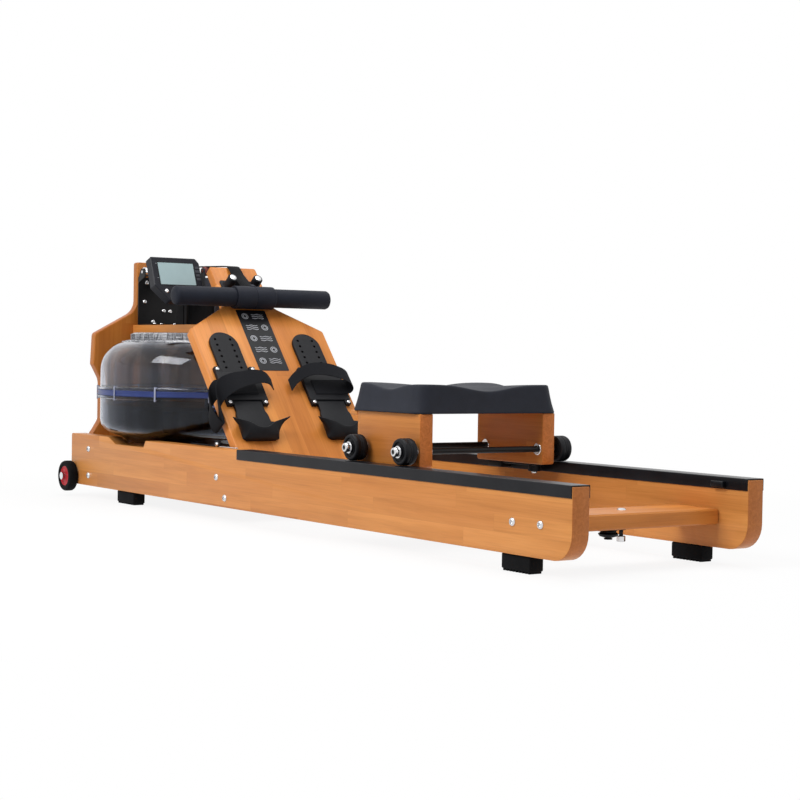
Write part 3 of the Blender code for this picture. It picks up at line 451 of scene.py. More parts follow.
class Shape:
    """Gathers solids into one mesh, in the frame of a place."""

    def __init__(self, home=ROW):
        self.home = home
        self.mesh = bmesh.new()

    def take(self, part, place=ROW, material=0):
        """Adds a small mesh."""
        part.transform(place)
        for face in part.faces:
            face.material_index = material
            face.smooth = True
        held = bpy.data.meshes.new("held")
        part.to_mesh(held)
        part.free()
        self.mesh.from_mesh(held)
        bpy.data.meshes.remove(held)
        return self

    def soften(self, part, width, segments):
        if width:
            sharp = [e for e in part.edges if len(e.link_faces) == 2 and e.calc_face_angle(0) > SOFTEN_ANGLE]
            settings = {"profile": 0.5, "affect": "EDGES", "clamp_overlap": True}
            bmesh.ops.bevel(part, geom=sharp, offset=width, segments=segments, **settings)

    def block(self, low, high, place=ROW, material=0, edge=0.0, segments=3):
        part = bmesh.new()
        bmesh.ops.create_cube(part, size=1.0)
        for point in part.verts:
            for k in range(3):
                point.co[k] = low[k] if point.co[k] < 0 else high[k]
        self.soften(part, edge, segments)
        return self.take(part, place, material)

    def prism(self, outline, axis, low, high, edge=0.0, segments=3):
        """An outline drawn out along an axis."""
        order = {"x": (1, 2, 0), "y": (0, 2, 1), "z": (0, 1, 2)}[axis]
        part = bmesh.new()
        ring = []
        for a, b in outline:
            point = [0.0, 0.0, 0.0]
            point[order[0]], point[order[1]], point[order[2]] = a, b, low
            ring.append(part.verts.new(point))
        pushed = bmesh.ops.extrude_face_region(part, geom=[part.faces.new(ring)])["geom"]
        shift = [0.0, 0.0, 0.0]
        shift[order[2]] = high - low
        bmesh.ops.translate(part, vec=shift, verts=[g for g in pushed if isinstance(g, bmesh.types.BMVert)])
        bmesh.ops.recalc_face_normals(part, faces=part.faces)
        self.soften(part, edge, segments)
        return self.take(part)

    def turned(self, profile, place=ROW, steps=48, material=0, ring=False):
        """A profile turned about the placed Z axis."""
        part = bmesh.new()
        angles = [math.tau * k / steps for k in range(steps)]
        rows = []
        for r, z in profile:
            if r < 1e-7:
                rows.append([part.verts.new((0, 0, z))])
            else:
                rows.append([part.verts.new((r * math.cos(a), r * math.sin(a), z)) for a in angles])
        pairs = list(zip(rows, rows[1:])) + ([(rows[-1], rows[0])] if ring else [])
        for one, two in pairs:
            for k in range(steps):
                n = (k + 1) % steps
                corners = [one[k % len(one)], one[n % len(one)], two[n % len(two)], two[k % len(two)]]
                corners = list(dict.fromkeys(corners))
                if len(corners) > 2:
                    part.faces.new(corners)
        bmesh.ops.recalc_face_normals(part, faces=part.faces)
        return self.take(part, place, material)

    def band(self, centres, sides, thickness, material=0, edge=0.0004):
        """A flat strap along centres. Each side vector is half its width there."""
        part = bmesh.new()
        rows = []
        centres = [Vector(c) for c in centres]
        last = len(centres) - 1
        for k, c in enumerate(centres):
            side = Vector(sides[k])
            run = (centres[min(k + 1, last)] - centres[max(k - 1, 0)]).normalized()
            out = side.cross(run).normalized() * (thickness / 2)
            inset = side.normalized() * edge
            ring = [
                c - side + inset - out,
                c + side - inset - out,
                c + side - out * 0.3,
                c + side + out * 0.3,
                c + side - inset + out,
                c - side + inset + out,
                c - side + out * 0.3,
                c - side - out * 0.3,
            ]
            rows.append([part.verts.new(p) for p in ring])
        for one, two in zip(rows, rows[1:]):
            for k in range(8):
                n = (k + 1) % 8
                part.faces.new((one[k], one[n], two[n], two[k]))
        part.faces.new(rows[0])
        part.faces.new(list(reversed(rows[-1])))
        bmesh.ops.recalc_face_normals(part, faces=part.faces)
        return self.take(part, material=material)

    def done(self, name, body, materials, slot=None, replaces=None, sharp=38):
        """Makes the piece, riding its body if it has one. Edges above so many degrees stay sharp."""
        made_mesh = bpy.data.meshes.new(name)
        self.mesh.to_mesh(made_mesh)
        self.mesh.free()
        for material in materials if isinstance(materials, list) else [materials]:
            made_mesh.materials.append(material)
        made_mesh.set_sharp_from_angle(angle=math.radians(sharp))
        made = add_object(name, made_mesh)
        made.matrix_world = self.home
        if body:
            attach(made, body)
        if replaces:
            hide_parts(replaces)
        return made


def edge_bevel(made, width, angle):
    """Rounds the edges that are sharper than so many degrees."""
    bevel = made.modifiers.new("edges", "BEVEL")
    bevel.width = width
    bevel.segments = 2
    bevel.limit_method = "ANGLE"
    bevel.angle_limit = math.radians(angle)
    return bevel


def cut(made, other):
    """Takes one object's volume out of another and removes the cutter."""
    step = made.modifiers.new("cut", "BOOLEAN")
    step.operation = "DIFFERENCE"
    step.solver = "EXACT"
    step.object = other
    bpy.context.view_layer.update()
    held = bpy.data.meshes.new_from_object(made.evaluated_get(bpy.context.evaluated_depsgraph_get()))
    made.modifiers.remove(step)
    held.name = made.data.name
    made.data = held
    bpy.data.objects.remove(other, do_unlink=True)


SCREW_HEAD = ((0, 0.35), (0.42, 0.35), (0.46, 1), (0.7, 0.92), (0.93, 0.55), (1, 0.18), (1, 0), (0, 0))


def bolt_shape(shape, place, radius, height):
    """A domed socket screw head, whose profile is in shares of its radius and height."""
    shape.turned([(r * radius, z * height) for r, z in SCREW_HEAD], place, 24)


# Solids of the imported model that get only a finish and, where a width is given, softer edges
for finish, edge, *names in (
    (WOOD_SHELF, 0.0015, "shelf_board"),
    (WOOD_CROSS, 0, "front_cross_beam", "foot_cross_beam", "rear_cross_board"),
    (WOOD_BASE_SHADED, 0, "tank_base_board"),
    (WOOD_SEAT, 0, "seat_board"),
    (BLACK_SATIN, 0.0008, "front_bracket"),
    (BLACK_SATIN, 0.001, "seat_axle_front", "seat_axle_rear"),
    (BLACK_SATIN, 0, "recoil_bracket"),
    (CHROME, 0.001, "front_roller", "transport_axle"),
    (GREY, 0.0008, "roller_bridge", "drive_drum"),
    (RED, 0.001, "top_roller"),
    (BLACK, 0.0008, "recoil_pulley"),
    (BLACK_RUBBER, 0, "drum_guard", "monitor_bracket"),
    (MONITOR_CASE, 0, "monitor_housing"),
    (DISPLAY, 0, "monitor_lens"),
    (GREY, 0, *(f"monitor_button_{k}" for k in range(1, 5))),
):
    for name in names:
        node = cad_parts[name]
        node.data.materials.clear()
        node.data.materials.append(finish)
        if edge:
            edge_bevel(node, edge, 40).harden_normals = True

# Rails and their covers
NOTCH_Z = RAIL_TOP_Z - 0.017
RAIL_SIDE = rounded(
    [
        (RAIL_FRONT_X, RAIL_BOTTOM_Z, 0.012),
        (RAIL_REAR_X, RAIL_BOTTOM_Z, 0.05),
        (RAIL_REAR_X, RAIL_TOP_Z, 0.003),
        (-0.588, RAIL_TOP_Z, 0.003),
        (-0.6, NOTCH_Z, 0.005),
        (-0.757, NOTCH_Z, 0.008),
        (-0.8, RAIL_TOP_Z, 0.006),
        (RAIL_FRONT_X, RAIL_TOP_Z, 0.006),
    ]
)
RAIL_HALF = (RAIL_OUTER_Y - RAIL_INNER_Y) / 2
BOLTS = mm((-916.5, 130), (-916.5, 60), (-221.5, 101), (-181, 55), (887.5, 92.5), (968, 93.8))
outer = RAIL_OUTER_Y + GAP + COVER_WALL
inner = RAIL_INNER_Y - GAP - COVER_WALL
under = COVER_TOP_Z - COVER_WALL
COVER_SECTION = [
    (outer, COVER_BOTTOM_Z, 0.0005),
    (outer, COVER_TOP_Z, 0.0019),
    (inner, COVER_TOP_Z, 0.0019),
    (inner, COVER_BOTTOM_Z, 0.0005),
    (inner + COVER_WALL, COVER_BOTTOM_Z, 0.0005),
    (inner + COVER_WALL, under, 0),
    (outer - COVER_WALL, under, 0),
    (outer - COVER_WALL, COVER_BOTTOM_Z, 0.0005),
]
for side, sign in SIDES:
    low, high = span(sign, RAIL_INNER_Y, RAIL_OUTER_Y)
    rail = Shape(at(0, (low + high) / 2, 0))
    rail.prism(RAIL_SIDE, "y", -RAIL_HALF, RAIL_HALF, edge=0.0016)
    rail.done(f"rail_board_{side}", "frame", WOOD_RAIL, "wood", f"rail_{side}")
    cover = Shape()
    outline = [(sign * y, z) for y, z in rounded(COVER_SECTION, 5)]
    cover.prism(outline, "x", COVER_FRONT_X, COVER_REAR_X)
    low, high = span(sign, inner - 0.01, inner + 0.0005)
    cover.block((0.965, low, 0.15), (0.997, high, 0.162), edge=0.002)
    cover.done(f"cover_{side}", "frame", COVER, "rail_cover", f"rail_cover_{side}")
    heads = Shape()
    for x, z in BOLTS:
        bolt_shape(heads, across(x, sign * RAIL_OUTER_Y, z, sign), 0.0082, 0.0044)
    heads.done(f"rail_bolts_{side}", "frame", STEEL, "chrome")

# Upright board and footboard
FRONT_HALF = mm((64, 632, 6), (64, 502, 45), (187, 436, 12), (191, 354, 6), (168, 312, 40))
FRONT_HALF += mm((168, 205, 20), (190, 169, 3), (195.5, 160, 0), (195.5, 63, 3))
upright_board = Shape(at(-1, 0, 0))
outline = rounded(FRONT_HALF + [(-y, z, r) for y, z, r in reversed(FRONT_HALF)], 12)
upright_board.prism(outline, "x", -0.0125, 0.0125, edge=0.003, segments=4)
upright_board.done("upright_board", "frame", WOOD_UPRIGHT, "wood", "front_board")
FOOTBOARD_HALF = mm((0, 67, 6), (131, 69, 30), (209, 191, 10), (665, 190.5, 6))
slope_board = Shape(FOOTBOARD)
slope_board.prism(rounded(mirrored(FOOTBOARD_HALF), 12), "z", -0.024, 0.0, edge=0.003, segments=4)
slope_board.done("slope_board", "frame", WOOD_SLOPE, "wood", "footboard")

# Rubber feet with a ribbed sole
SOLE_RIBS, RIB_HALF = 9, 0.0028
for end, low_x, high_x in (("front", -0.756, -0.662), ("rear", 0.848, 0.932)):
    for side, sign in SIDES:
        low, high = span(sign, 0.1965, 0.229)
        foot = Shape()
        foot.block((low_x, low, 0.004), (high_x, high, 0.0327), edge=0.003, segments=4)
        for k in range(SOLE_RIBS):
            x = low_x + 0.006 + (high_x - low_x - 0.012) * k / (SOLE_RIBS - 1)
            ends = ((x - RIB_HALF, low + 0.002, 0), (x + RIB_HALF, high - 0.002, 0.005))
            foot.block(*ends, edge=0.0008, segments=2)
        foot.done(f"rubber_foot_{end}_{side}", "frame", BLACK_RUBBER, "black_rubber", f"foot_{end}_{side}")

# Clear tank, its seal with clips, the water and the paddle
TANK_R, FLANGE_R, INNER_R = 0.2775, 0.285, 0.2725
TOP_CORNER = (0.2025, 0.343)
TANK_STEPS = 128
CLIPS, COLLAR_RIBS = 13, 60


def lip(low, high):
    """The flange's rounded rim, from its top to its bottom."""
    rim = FLANGE_R - 0.0006
    return [(rim, high), (FLANGE_R, high - 0.0006), (FLANGE_R, low + 0.0006), (rim, low)]


bowl_inside = mm((0, 160.5), (188, 160.5), (200.5, 161.5))
bowl_inside += smooth_path(mm((219.5, 174.8), (245, 183), (260.2, 190.5), (269, 201.5), (272.5, 215)), 5)
bowl_outside = smooth_path(mm((277.5, 215), (273.5, 199.5), (264, 187.5), (248, 178.5), (222.5, 170)), 5)
lower = bowl_inside + [(INNER_R, 0.277)] + lip(0.2703, 0.277)
lower += [(TANK_R + 0.0015, 0.2698), (TANK_R, 0.2682)] + bowl_outside
lower += mm((204.5, 156.8), (190, 155.5), (0, 155.5))
bowl = Shape(TANK).turned(lower, steps=TANK_STEPS)
bowl.done("tank_bowl", "frame", BOWL, "clear_shell", "tank_lower_shell")
upper = [(0.03, 0.418)] + arc(*TOP_CORNER, 0.075, 90, 0, 14) + [(TANK_R, 0.3008), (TANK_R + 0.0015, 0.2992)]
upper += lip(0.292, 0.2987) + [(INNER_R, 0.292)] + arc(*TOP_CORNER, 0.07, 0, 90, 14) + [(0.03, 0.413)]
dome = Shape(TANK).turned(upper, steps=TANK_STEPS, ring=True)
dome.done("tank_dome", "frame", SHELL, "clear_shell", "tank_upper_shell")
band = mm((273, 291.7), (284, 291.7), (285, 290.7), (285, 288.5), (283.8, 287.5))
band += mm((283.8, 281.5), (285, 280.5), (285, 278.3), (284, 277.3), (273, 277.3))
band = Shape(TANK).turned(band, steps=TANK_STEPS, ring=True)
band.done("tank_band", "frame", SEAL, "blue_seal", "tank_seal")
clips = Shape(TANK)
for k in range(CLIPS):
    place = spun(math.radians(-28) + math.tau * k / CLIPS)
    clips.block((FLANGE_R + 0.0004, -0.0022, 0.266), (FLANGE_R + 0.0022, 0.0022, 0.302), place, edge=0.0007)
    for low, high in ((0.2676, 0.27), (0.299, 0.3014)):
        clips.block((FLANGE_R - 0.0048, -0.0022, low), (FLANGE_R + 0.002, 0.0022, high), place, edge=0.0006)
clips.done("seal_clips", "frame", CLIP, "clear_shell")
surface = mm((0, 249.6), (60, 249.7), (160, 250), (255, 250.3), (267.5, 251.2), (271.9, 253))
surface += [(max(r - GAP, 0), z + GAP) for r, z in reversed(bowl_inside)]
Shape(TANK).turned(surface, steps=TANK_STEPS).done("water_body", "frame", WATER, "water", "tank_water")
neck = mm((130, 418.7), (200, 418.7), (200.6, 421.5), (198.5, 424), (199.5, 426.5), (198.5, 429))
neck += mm((199.2, 434.5), (197.2, 437), (192.5, 438.7), (188, 437.5), (180, 437.5), (175, 438.7))
neck += mm((142, 438.7), (138, 437), (130, 437))
collar = Shape(TANK).turned(neck, steps=TANK_STEPS, ring=True)
for k in range(COLLAR_RIBS):
    place = spun(math.tau * k / COLLAR_RIBS)
    collar.block((0.1965, -0.0018, 0.4192), (0.2014, 0.0018, 0.435), place, edge=0.0009, segments=2)
collar.done("neck_collar", "frame", NECK, "clear_shell", "tank_neck_ring")
threads = Shape(TANK)
THREAD = mm((-2.2, 0), (-1, 2), (1, 1.8), (2.2, -1), (0, -0.6))
for r, z in mm((207, 417.6), (215, 416.5), (223.5, 414.5)):
    threads.turned([(r + a, z + b) for a, b in THREAD], steps=96, ring=True)
threads.done("neck_threads", "frame", NECK, "clear_shell")
paddle = Shape(TANK)
paddle.turned(mm((0, 463.2), (7, 463.2), (8, 462.2), (8, 176), (0, 176)), steps=40)
paddle.turned(mm((8, 240), (20, 238), (22, 234), (22, 184), (20, 180), (8, 178)), steps=40)
for angle in (25, 115):
    place = spun(math.radians(angle))
    paddle.block((-0.168, -0.002, 0.182), (0.168, 0.002, 0.236), place, edge=0.0008)
    for x in (-0.12, -0.075, 0.075, 0.12):
        paddle.block((x - 0.002, -0.0036, 0.186), (x + 0.002, 0.0036, 0.232), place, edge=0.0008)
paddle.done("paddle_wheel", "paddle", GREY, "grey_plastic", "paddle")

# Steel latch bar with its bolt on each rail's inner edge
LATCH_X, LATCH_Z = -0.2765, 0.174
KNOB = mm((0, 6), (8.5, 6), (9.5, 5), (9.5, -1.5), (0, -1.5))
for side, sign in SIDES:
    latch = Shape()
    low, high = span(sign, 0.1965, 0.204)
    latch.block((-0.274, low, 0.1678), (-0.19, high, 0.1706), edge=0.0008)
    latch.block((-0.41, low, 0.1678), (-0.278, high, 0.1712), edge=0.001, material=1)
    latch.turned(KNOB, across(LATCH_X, sign * 0.1985, LATCH_Z, sign), 32, material=1)
    bolt_shape(latch, across(LATCH_X, sign * 0.2045, LATCH_Z, sign), 0.0058, 0.004)
    latch.done(f"tank_latch_{side}", "frame", [STEEL, BLACK], "chrome")

# Screws of the front bracket and of the shelf
BRACKET_FACE_X, SHELF_TOP_Z = -0.9592, 0.4643
drive_bolts = Shape()
facing_rear = Matrix.Rotation(math.pi / 2, 4, "Y")
for y, z in mm((-49.7, 576.2), (-55.4, 524.3), (-29.6, 470.4), (2.5, 500.8), (21.7, 499.7), (50, 560)):
    bolt_shape(drive_bolts, at(BRACKET_FACE_X, y, z) @ facing_rear, 0.0058, 0.0036)
for x, y in mm((-900, -55), (-900, 55), (-930, -20), (-930, 20)):
    bolt_shape(drive_bolts, at(x, y, SHELF_TOP_Z), 0.0045, 0.003)
drive_bolts.done("drive_bolts", "frame", STEEL, "chrome")

# Belt round the front roller and down to the drum
ROLLER_X, ROLLER_Z, ROLLER_R, DRUM_R = -0.937, 0.604, 0.0125, 0.038
roller_line = ROLLER_R + GAP + BELT_T / 2
drum_line = DRUM_R + GAP + BELT_T / 2
points = mm((-689, 613.6), (-760, 614.8), (-850, 616.3)) + arc(ROLLER_X, ROLLER_Z, roller_line, 90, 270, 16)
centres = [Vector((x, 0, z)) for x, z in points]
sides = [Vector((0, BELT_HALF, 0))] * len(centres)
run_start = centres[-1].copy()
turn_in = math.acos(drum_line / (TANK_X - run_start.x))
run_end = Vector((TANK_X - drum_line * math.cos(turn_in), -drum_line * math.sin(turn_in), 0.508))
for s in range(1, 25):
    t = s / 24
    centres.append(run_start.lerp(run_end, t))
    sides.append(Vector((0, math.cos(math.pi / 2 * t), -math.sin(math.pi / 2 * t))) * BELT_HALF)
belt = Shape().band(centres, sides, BELT_T).done("belt_loop", "frame", BELT, "webbing", "belt_span", sharp=60)

# Belt over the footboard's edge to the handle
HANDLE_U, HANDLE_H, SLEEVE_R = 0.1287, 0.0302, 0.0285
corner = FOOTBOARD.translation
belt_end = (FOOTBOARD @ at(HANDLE_U - SLEEVE_R - 0.0012, 0, HANDLE_H)).translation
control = [(-0.687, 0, 0.6136), (-0.64, 0, 0.6124)]
for x, z in mm((-20, 3.5), (-8, 2.9), (1, 1.6), (10, -3), (34, -23.5)):
    control.append((corner.x + x, 0, corner.z + z))
centres = smooth_path(control + [tuple(belt_end)], 8)
strap = Shape().band(centres, [Vector((0, BELT_HALF, 0))] * len(centres), BELT_T)
strap = strap.done("pull_strap", None, BELT, "webbing", "drive_strap", sharp=60)
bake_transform(strap)

# Handle with a split sleeve and foam to its ends
HANDLE = across(-0.472, 0, 0.529)
grip = mm((0, 222), (13, 221.8), (18, 220.6), (22, 218), (23.75, 214), (23.7, 120), (23.6, 60))
grip = Shape(HANDLE).turned(both_ends(grip), steps=72)
grip = grip.done("foam_grip", "handle", FOAM, "foam", "handle_grip")
sleeve = mm((24.1, 55), (27.4, 55), (28.3, 54.1), (28.5, 52.5))
sleeve += mm((28.5, 2.2), (28.1, 0.8), (27.2, 0.6), (27.2, 0))
sleeve = Shape(HANDLE).turned(both_ends(sleeve), steps=96, ring=True)
sleeve.block((-0.019, -0.0292, -0.006), (-0.004, -0.0272, 0.006), spun(math.radians(20)), edge=0.0008)
sleeve.done("grip_sleeve", "handle", SLEEVE, "black_rubber", "handle_sleeve")

# Pegs that stop the handle
PEG = mm((0, 36.2), (8, 36.2), (11.2, 35.5), (12.5, 33.5), (12.5, 12), (13.2, 6), (16.5, 2.6), (0, 2))
PEG_CAP = mm((0, 37.2), (7, 37.2), (8.2, 36.6), (8.6, 35), (0, 35))
rest = Shape(FOOTBOARD)
rest.prism(rounded(mirrored(mm((48, -56, 6), (86, -56, 6)))), "z", GAP, 0.003, edge=0.0008)
for y in (-0.0363, 0.0363):
    place = at(0.067, y, 0)
    rest.turned(PEG, place, 40)
    rest.turned(PEG_CAP, place, 40, material=1)
rest.done("handle_pegs", "frame", [BLACK, STEEL], "black_plastic", "handle_rest")

# Foot sliders with heel cups, their brackets and the instep straps
HEEL_FLOOR = mm((500, 43, 5), (530, 47, 5), (549, 49, 5), (554.8, 44, 5), (556, 20, 5))
HEEL_RIM = mm((513, 79, 40), (519, 56, 38.5), (525, 35, 37), (528, 29, 36.5), (538.5, 11, 35))
PIN = mm((0, 12), (3.6, 12), (3.6, -2), (0, -2))
# Each row is a place on the strap's middle line and half the strap's width there
STRAP_LEFT = mm(
    (402, 36, 13.6, 22, 0, 0),
    (403, -54, 14.6, 22, 1, 0),
    (410, -77, 13, 21, 3, -4),
    (430, -93, -1, 14, 6, -15),
    (464, -99, -11, 6, 3, -20),
    (498, -92, -15, -1, 0, -21),
    (504, -84, -12, -1, 0, -21),
    (480, -85, 2, 7, 3, -20),
    (446, -85, 18, 16, 6, -14),
    (422, -71, 31, 24, 5, -6),
    (409, -40, 42, 24, 4, -1),
    (400, -5, 44, 21, 3, -1),
    (393, 32, 43, 19, 3, -2),
    (393, 60, 36, 16, 3, -4),
    (401, 78, 22, 14, 2, -5),
)
STRAP_RIGHT = mm(
    (402, 36, 13.6, 22, 0, 0),
    (402, -20, 13.8, 22, 0, 0),
    (402, -52, 14.6, 22, 0, 0),
    (402, -63.5, 19, 21, 0, 0),
    (399, -65, 30, 21, 0, 0),
    (393, -56, 41, 21, 0, 0),
    (385, -36, 47, 20, 2, 0),
    (376, -5, 49, 20, 3, 0),
    (368, 30, 44, 19, 3, 0),
    (369, 60, 32, 18, 2, 0),
    (380, 83, 19, 18, 2, 0),
    (396, 101, 12, 18, 1, 0),
)
STRAPS = {"left": STRAP_LEFT, "right": STRAP_RIGHT}


def heel_cup(side, home):
    """The thin wall that flares up round the heel."""
    floor = smooth_path(mirrored(HEEL_FLOOR), 7)
    rim = smooth_path(mirrored(HEEL_RIM), 7)
    wall = bmesh.new()
    grid = []
    for k in range(11):
        t = k / 10
        line = []
        for low, high in zip(floor, rim):
            point = low.lerp(high, t)
            point.x += 0.008 * math.sin(math.pi * t)
            line.append(wall.verts.new(point))
        grid.append(line)
    for below, above in zip(grid, grid[1:]):
        for s in range(len(below) - 1):
            wall.faces.new((below[s], below[s + 1], above[s + 1], above[s])).smooth = True
    mesh = bpy.data.meshes.new(f"heel_cup_{side}")
    wall.to_mesh(mesh)
    wall.free()
    mesh.materials.append(BLACK)
    cup = add_object(f"heel_cup_{side}", mesh)
    skin = cup.modifiers.new("thickness", "SOLIDIFY")
    skin.thickness = 0.0031
    skin.offset = 0.0
    edge_bevel(cup, 0.0011, 50)
    cup.matrix_world = home
    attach(cup, f"foot_slider_{side}")


def slider_plate(side, home):
    """The plate under the shoe, with two rows of holes."""
    half_width = 0.039
    low_end = mm((470, 39, 6), (482, 43, 6), (549, 47.5, 4), (556.5, 40, 3))
    outline = arc(0.265, 0, half_width, 270, 90, 32)
    outline += rounded([(0.3, half_width, 0)] + mirrored(low_end) + [(0.3, -half_width, 0)], 5)
    body = f"foot_slider_{side}"
    plate = Shape(home).prism(outline, "z", 0.0009, 0.0085, edge=0.0011)
    plate = plate.done(f"slider_plate_{side}", body, BLACK, "black_plastic", body)
    pins = Shape(home)
    for k in range(6):
        for y in (-0.021, 0.021):
            pins.turned(PIN, at(0.249 + 0.0178 * k, y, 0), 24)
    cut(plate, pins.done(f"slider_holes_{side}", body, BLACK))
    plate.data.set_sharp_from_angle(angle=math.radians(38))


def slider_bracket(side, home):
    """The guide over the slider, with a screwed tab at each corner and a raised instep plate."""
    guide = Shape(home)
    for sign in (-1, 1):
        low, high = span(sign, 0.0403, 0.056)
        guide.block((0.337, low, GAP), (0.453, high, 0.0115), edge=0.0012)
    guide.prism(rounded(mirrored(mm((356, 57.8, 2), (440.5, 57.8, 2)))), "z", 0.0092, 0.0125, edge=0.001)
    guide.done(f"slider_bracket_{side}", "frame", BLACK, "black_plastic", f"foot_bracket_{side}")
    heads = Shape(home)
    for u in (0.345, 0.4465):
        for y in (-0.049, 0.049):
            bolt_shape(heads, at(u, y, 0.0114), 0.005, 0.003)
    heads.done(f"bracket_screws_{side}", "frame", STEEL, "chrome")


def instep_strap(side, sign, home):
    path = smooth_path([(u, -sign * y, h) for u, y, h, *_ in STRAPS[side]], 7)
    halves = smooth_path([(u, -sign * y, h) for *_, u, y, h in STRAPS[side]], 7)
    strap = Shape(home).band(path, halves, 0.002)
    strap = strap.done(f"instep_strap_{side}", "frame", WEBBING, "webbing", f"foot_strap_{side}", sharp=60)


for side, sign in SIDES:
    home = FOOTBOARD @ at(0, sign * FOOT_Y, 0)
    slider_plate(side, home)
    heel_cup(side, home)
    slider_bracket(side, home)
    instep_strap(side, sign, home)

# Sticker on the footboard with a generic pattern of waves and rings
INK_H = 0.00085
sticker = Shape(FOOTBOARD)
sticker.prism(rounded(mirrored(mm((145, 42, 3), (340, 42, 3))), 5), "z", 0.0002, 0.0007)


def stroke(points, width):
    """A thin flat line of the pattern."""
    halves = []
    for k in range(len(points)):
        before = Vector(points[max(k - 1, 0)])
        after = Vector(points[min(k + 1, len(points) - 1)])
        run = (after - before).normalized()
        halves.append((-run.y * width / 2, run.x * width / 2, 0.0))
    sticker.band([(u, y, INK_H) for u, y in points], halves, 0.0003, material=1, edge=0.00005)


for k in range(5):
    u = 0.165 + 0.036 * k
    way = 1 if k % 2 else -1
    for r in (0.005, 0.0085):
        stroke(arc(u, way * 0.022, r, 0, 360, 20), 0.0016)
    for m in range(3):
        start = u - 0.006 + 0.006 * m
        wave = [(start + 0.0014 * math.sin(0.9 * s), -way * (0.03 - 0.003 * s)) for s in range(12)]
        stroke(wave, 0.0015)
sticker.done("footboard_sticker", "frame", [STICKER, PALE_INK], "black_plastic")

# Transport wheels with red hubs
WHEEL_X, WHEEL_Y, WHEEL_Z = -1.0145, 0.2493, 0.0535
TYRE = mm((26, 10.5), (28, 12), (34.5, 12.6), (38.5, 11.2), (40.2, 8), (40.5, 0))
TYRE += mm((40.2, -8), (38.5, -11.2), (34.5, -12.6), (26, -12))
HUB = mm((5.3, 10.6), (12, 11.2), (14, 9.5), (23.5, 8.5))
HUB += mm((26.2, 10.4), (26.6, 10.4), (26.6, -10.4), (5.3, -10.4))
for side, sign in SIDES:
    body = f"transport_wheel_{side}"
    tyre = Shape(across(WHEEL_X, sign * WHEEL_Y, WHEEL_Z, sign))
    tyre.turned(TYRE, steps=72, ring=True)
    tyre.turned(HUB, steps=72, material=1, ring=True)
    tyre.done(f"wheel_{side}", body, [BLACK_RUBBER, RED_HUB], "wheel_rubber", body)

# Seat boards, axle rings, wheels and axle heads
AXLES = (("front", 0.312), ("rear", 0.492))
AXLE_Z = 0.1978
SEAT_TOP_Z = 0.274
SEAT_INNER_Y, SEAT_OUTER_Y = 0.143, 0.175
SEAT_SIDE = mm((280, 165, 6), (508, 165, 6)) + [(0.508, SEAT_TOP_Z, 0.002), (0.28, SEAT_TOP_Z, 0.002)]
AXLE_RING = mm((6.8, 0), (6.8, 3), (11.8, 3), (12.8, 2), (12.8, 0))
WHEEL_HALF = mm((7, 11.8), (10.5, 11.8), (11.2, 12.8), (15, 12.8), (15.8, 11.2), (19.6, 11.2), (20.6, 14))
WHEEL_HALF += mm((22.2, 14.7), (24.6, 14.7), (26.2, 13.8), (27, 11.8), (27.5, 10), (27.5, 4), (26.8, 3))
WHEEL_HALF += mm((26.8, 1.6), (27.5, 0.8))
HEAD_RIM = mm((8.8, 0), (8.8, 2.2), (12.4, 2.2), (12.4, 0))
HEAD_DOME = mm((4.8, 12.3), (5, 13.4), (6.6, 13.7), (8.6, 12.8), (9.6, 10.8), (9.8, 8))
HEAD_DOME += mm((9.8, 2.2), (8.8, 2.2), (8.8, 12.1))
for side, sign in SIDES:
    low, high = span(sign, SEAT_INNER_Y, SEAT_OUTER_Y)
    board = Shape(at(0, (low + high) / 2, 0))
    board.prism(rounded(SEAT_SIDE), "y", -0.016, 0.016, edge=0.0016)
    board.done(f"seat_board_{side}", "seat", WOOD_SEAT, "wood", f"seat_side_{side}")
    rings = Shape()
    for end, x in AXLES:
        for y, way in ((SEAT_OUTER_Y, 1), (SEAT_INNER_Y, -1)):
            rings.turned(AXLE_RING, across(x, sign * y, AXLE_Z, sign * way), 40, ring=True)
    rings.done(f"axle_rings_{side}", "seat", STEEL, "chrome")
    for end, x in AXLES:
        body = f"seat_wheel_{end}_{side}"
        wheel = Shape(across(x, sign * 0.201, AXLE_Z, sign))
        wheel.turned(both_ends(WHEEL_HALF), steps=72, ring=True)
        wheel.done(f"roller_{end}_{side}", body, BLACK, "wheel_rubber", body)
        head = Shape(across(x, sign * 0.2162, AXLE_Z, sign))
        head.turned(HEAD_RIM, ring=True)
        head.turned(HEAD_DOME, ring=True)
        head.done(f"axle_head_{end}_{side}", "seat", STEEL, "chrome")

# Moulded seat pad with a flared skirt, four raised corners and a dip in the middle of each side
PAD_FRONT_X, PAD_REAR_X = 0.26, 0.513
PAD_HALF_X = (PAD_REAR_X - PAD_FRONT_X) / 2
PAD_HALF_Y = 0.184
PAD_BOTTOM_Z = SEAT_TOP_Z + GAP
PAD_TOP_Z = 0.334
PAD_DIP = 0.015
PAD_CORNER_R = 0.03
PAD_POINT_GAP = 0.009
POCKET_SHARE, POCKET_Z = 0.945, 0.012


def pad_top(a, b):
    """Height of the crown at a share of the half length and half width."""
    ends = math.exp(-((b / 0.38) ** 2)) * (0.3 + 0.7 * abs(a) ** 1.5)
    sides = math.exp(-((a / 0.42) ** 2)) * (0.25 + 0.75 * abs(b) ** 1.5)
    return PAD_TOP_Z - PAD_DIP * (1 - (1 - ends) * (1 - 0.9 * sides))


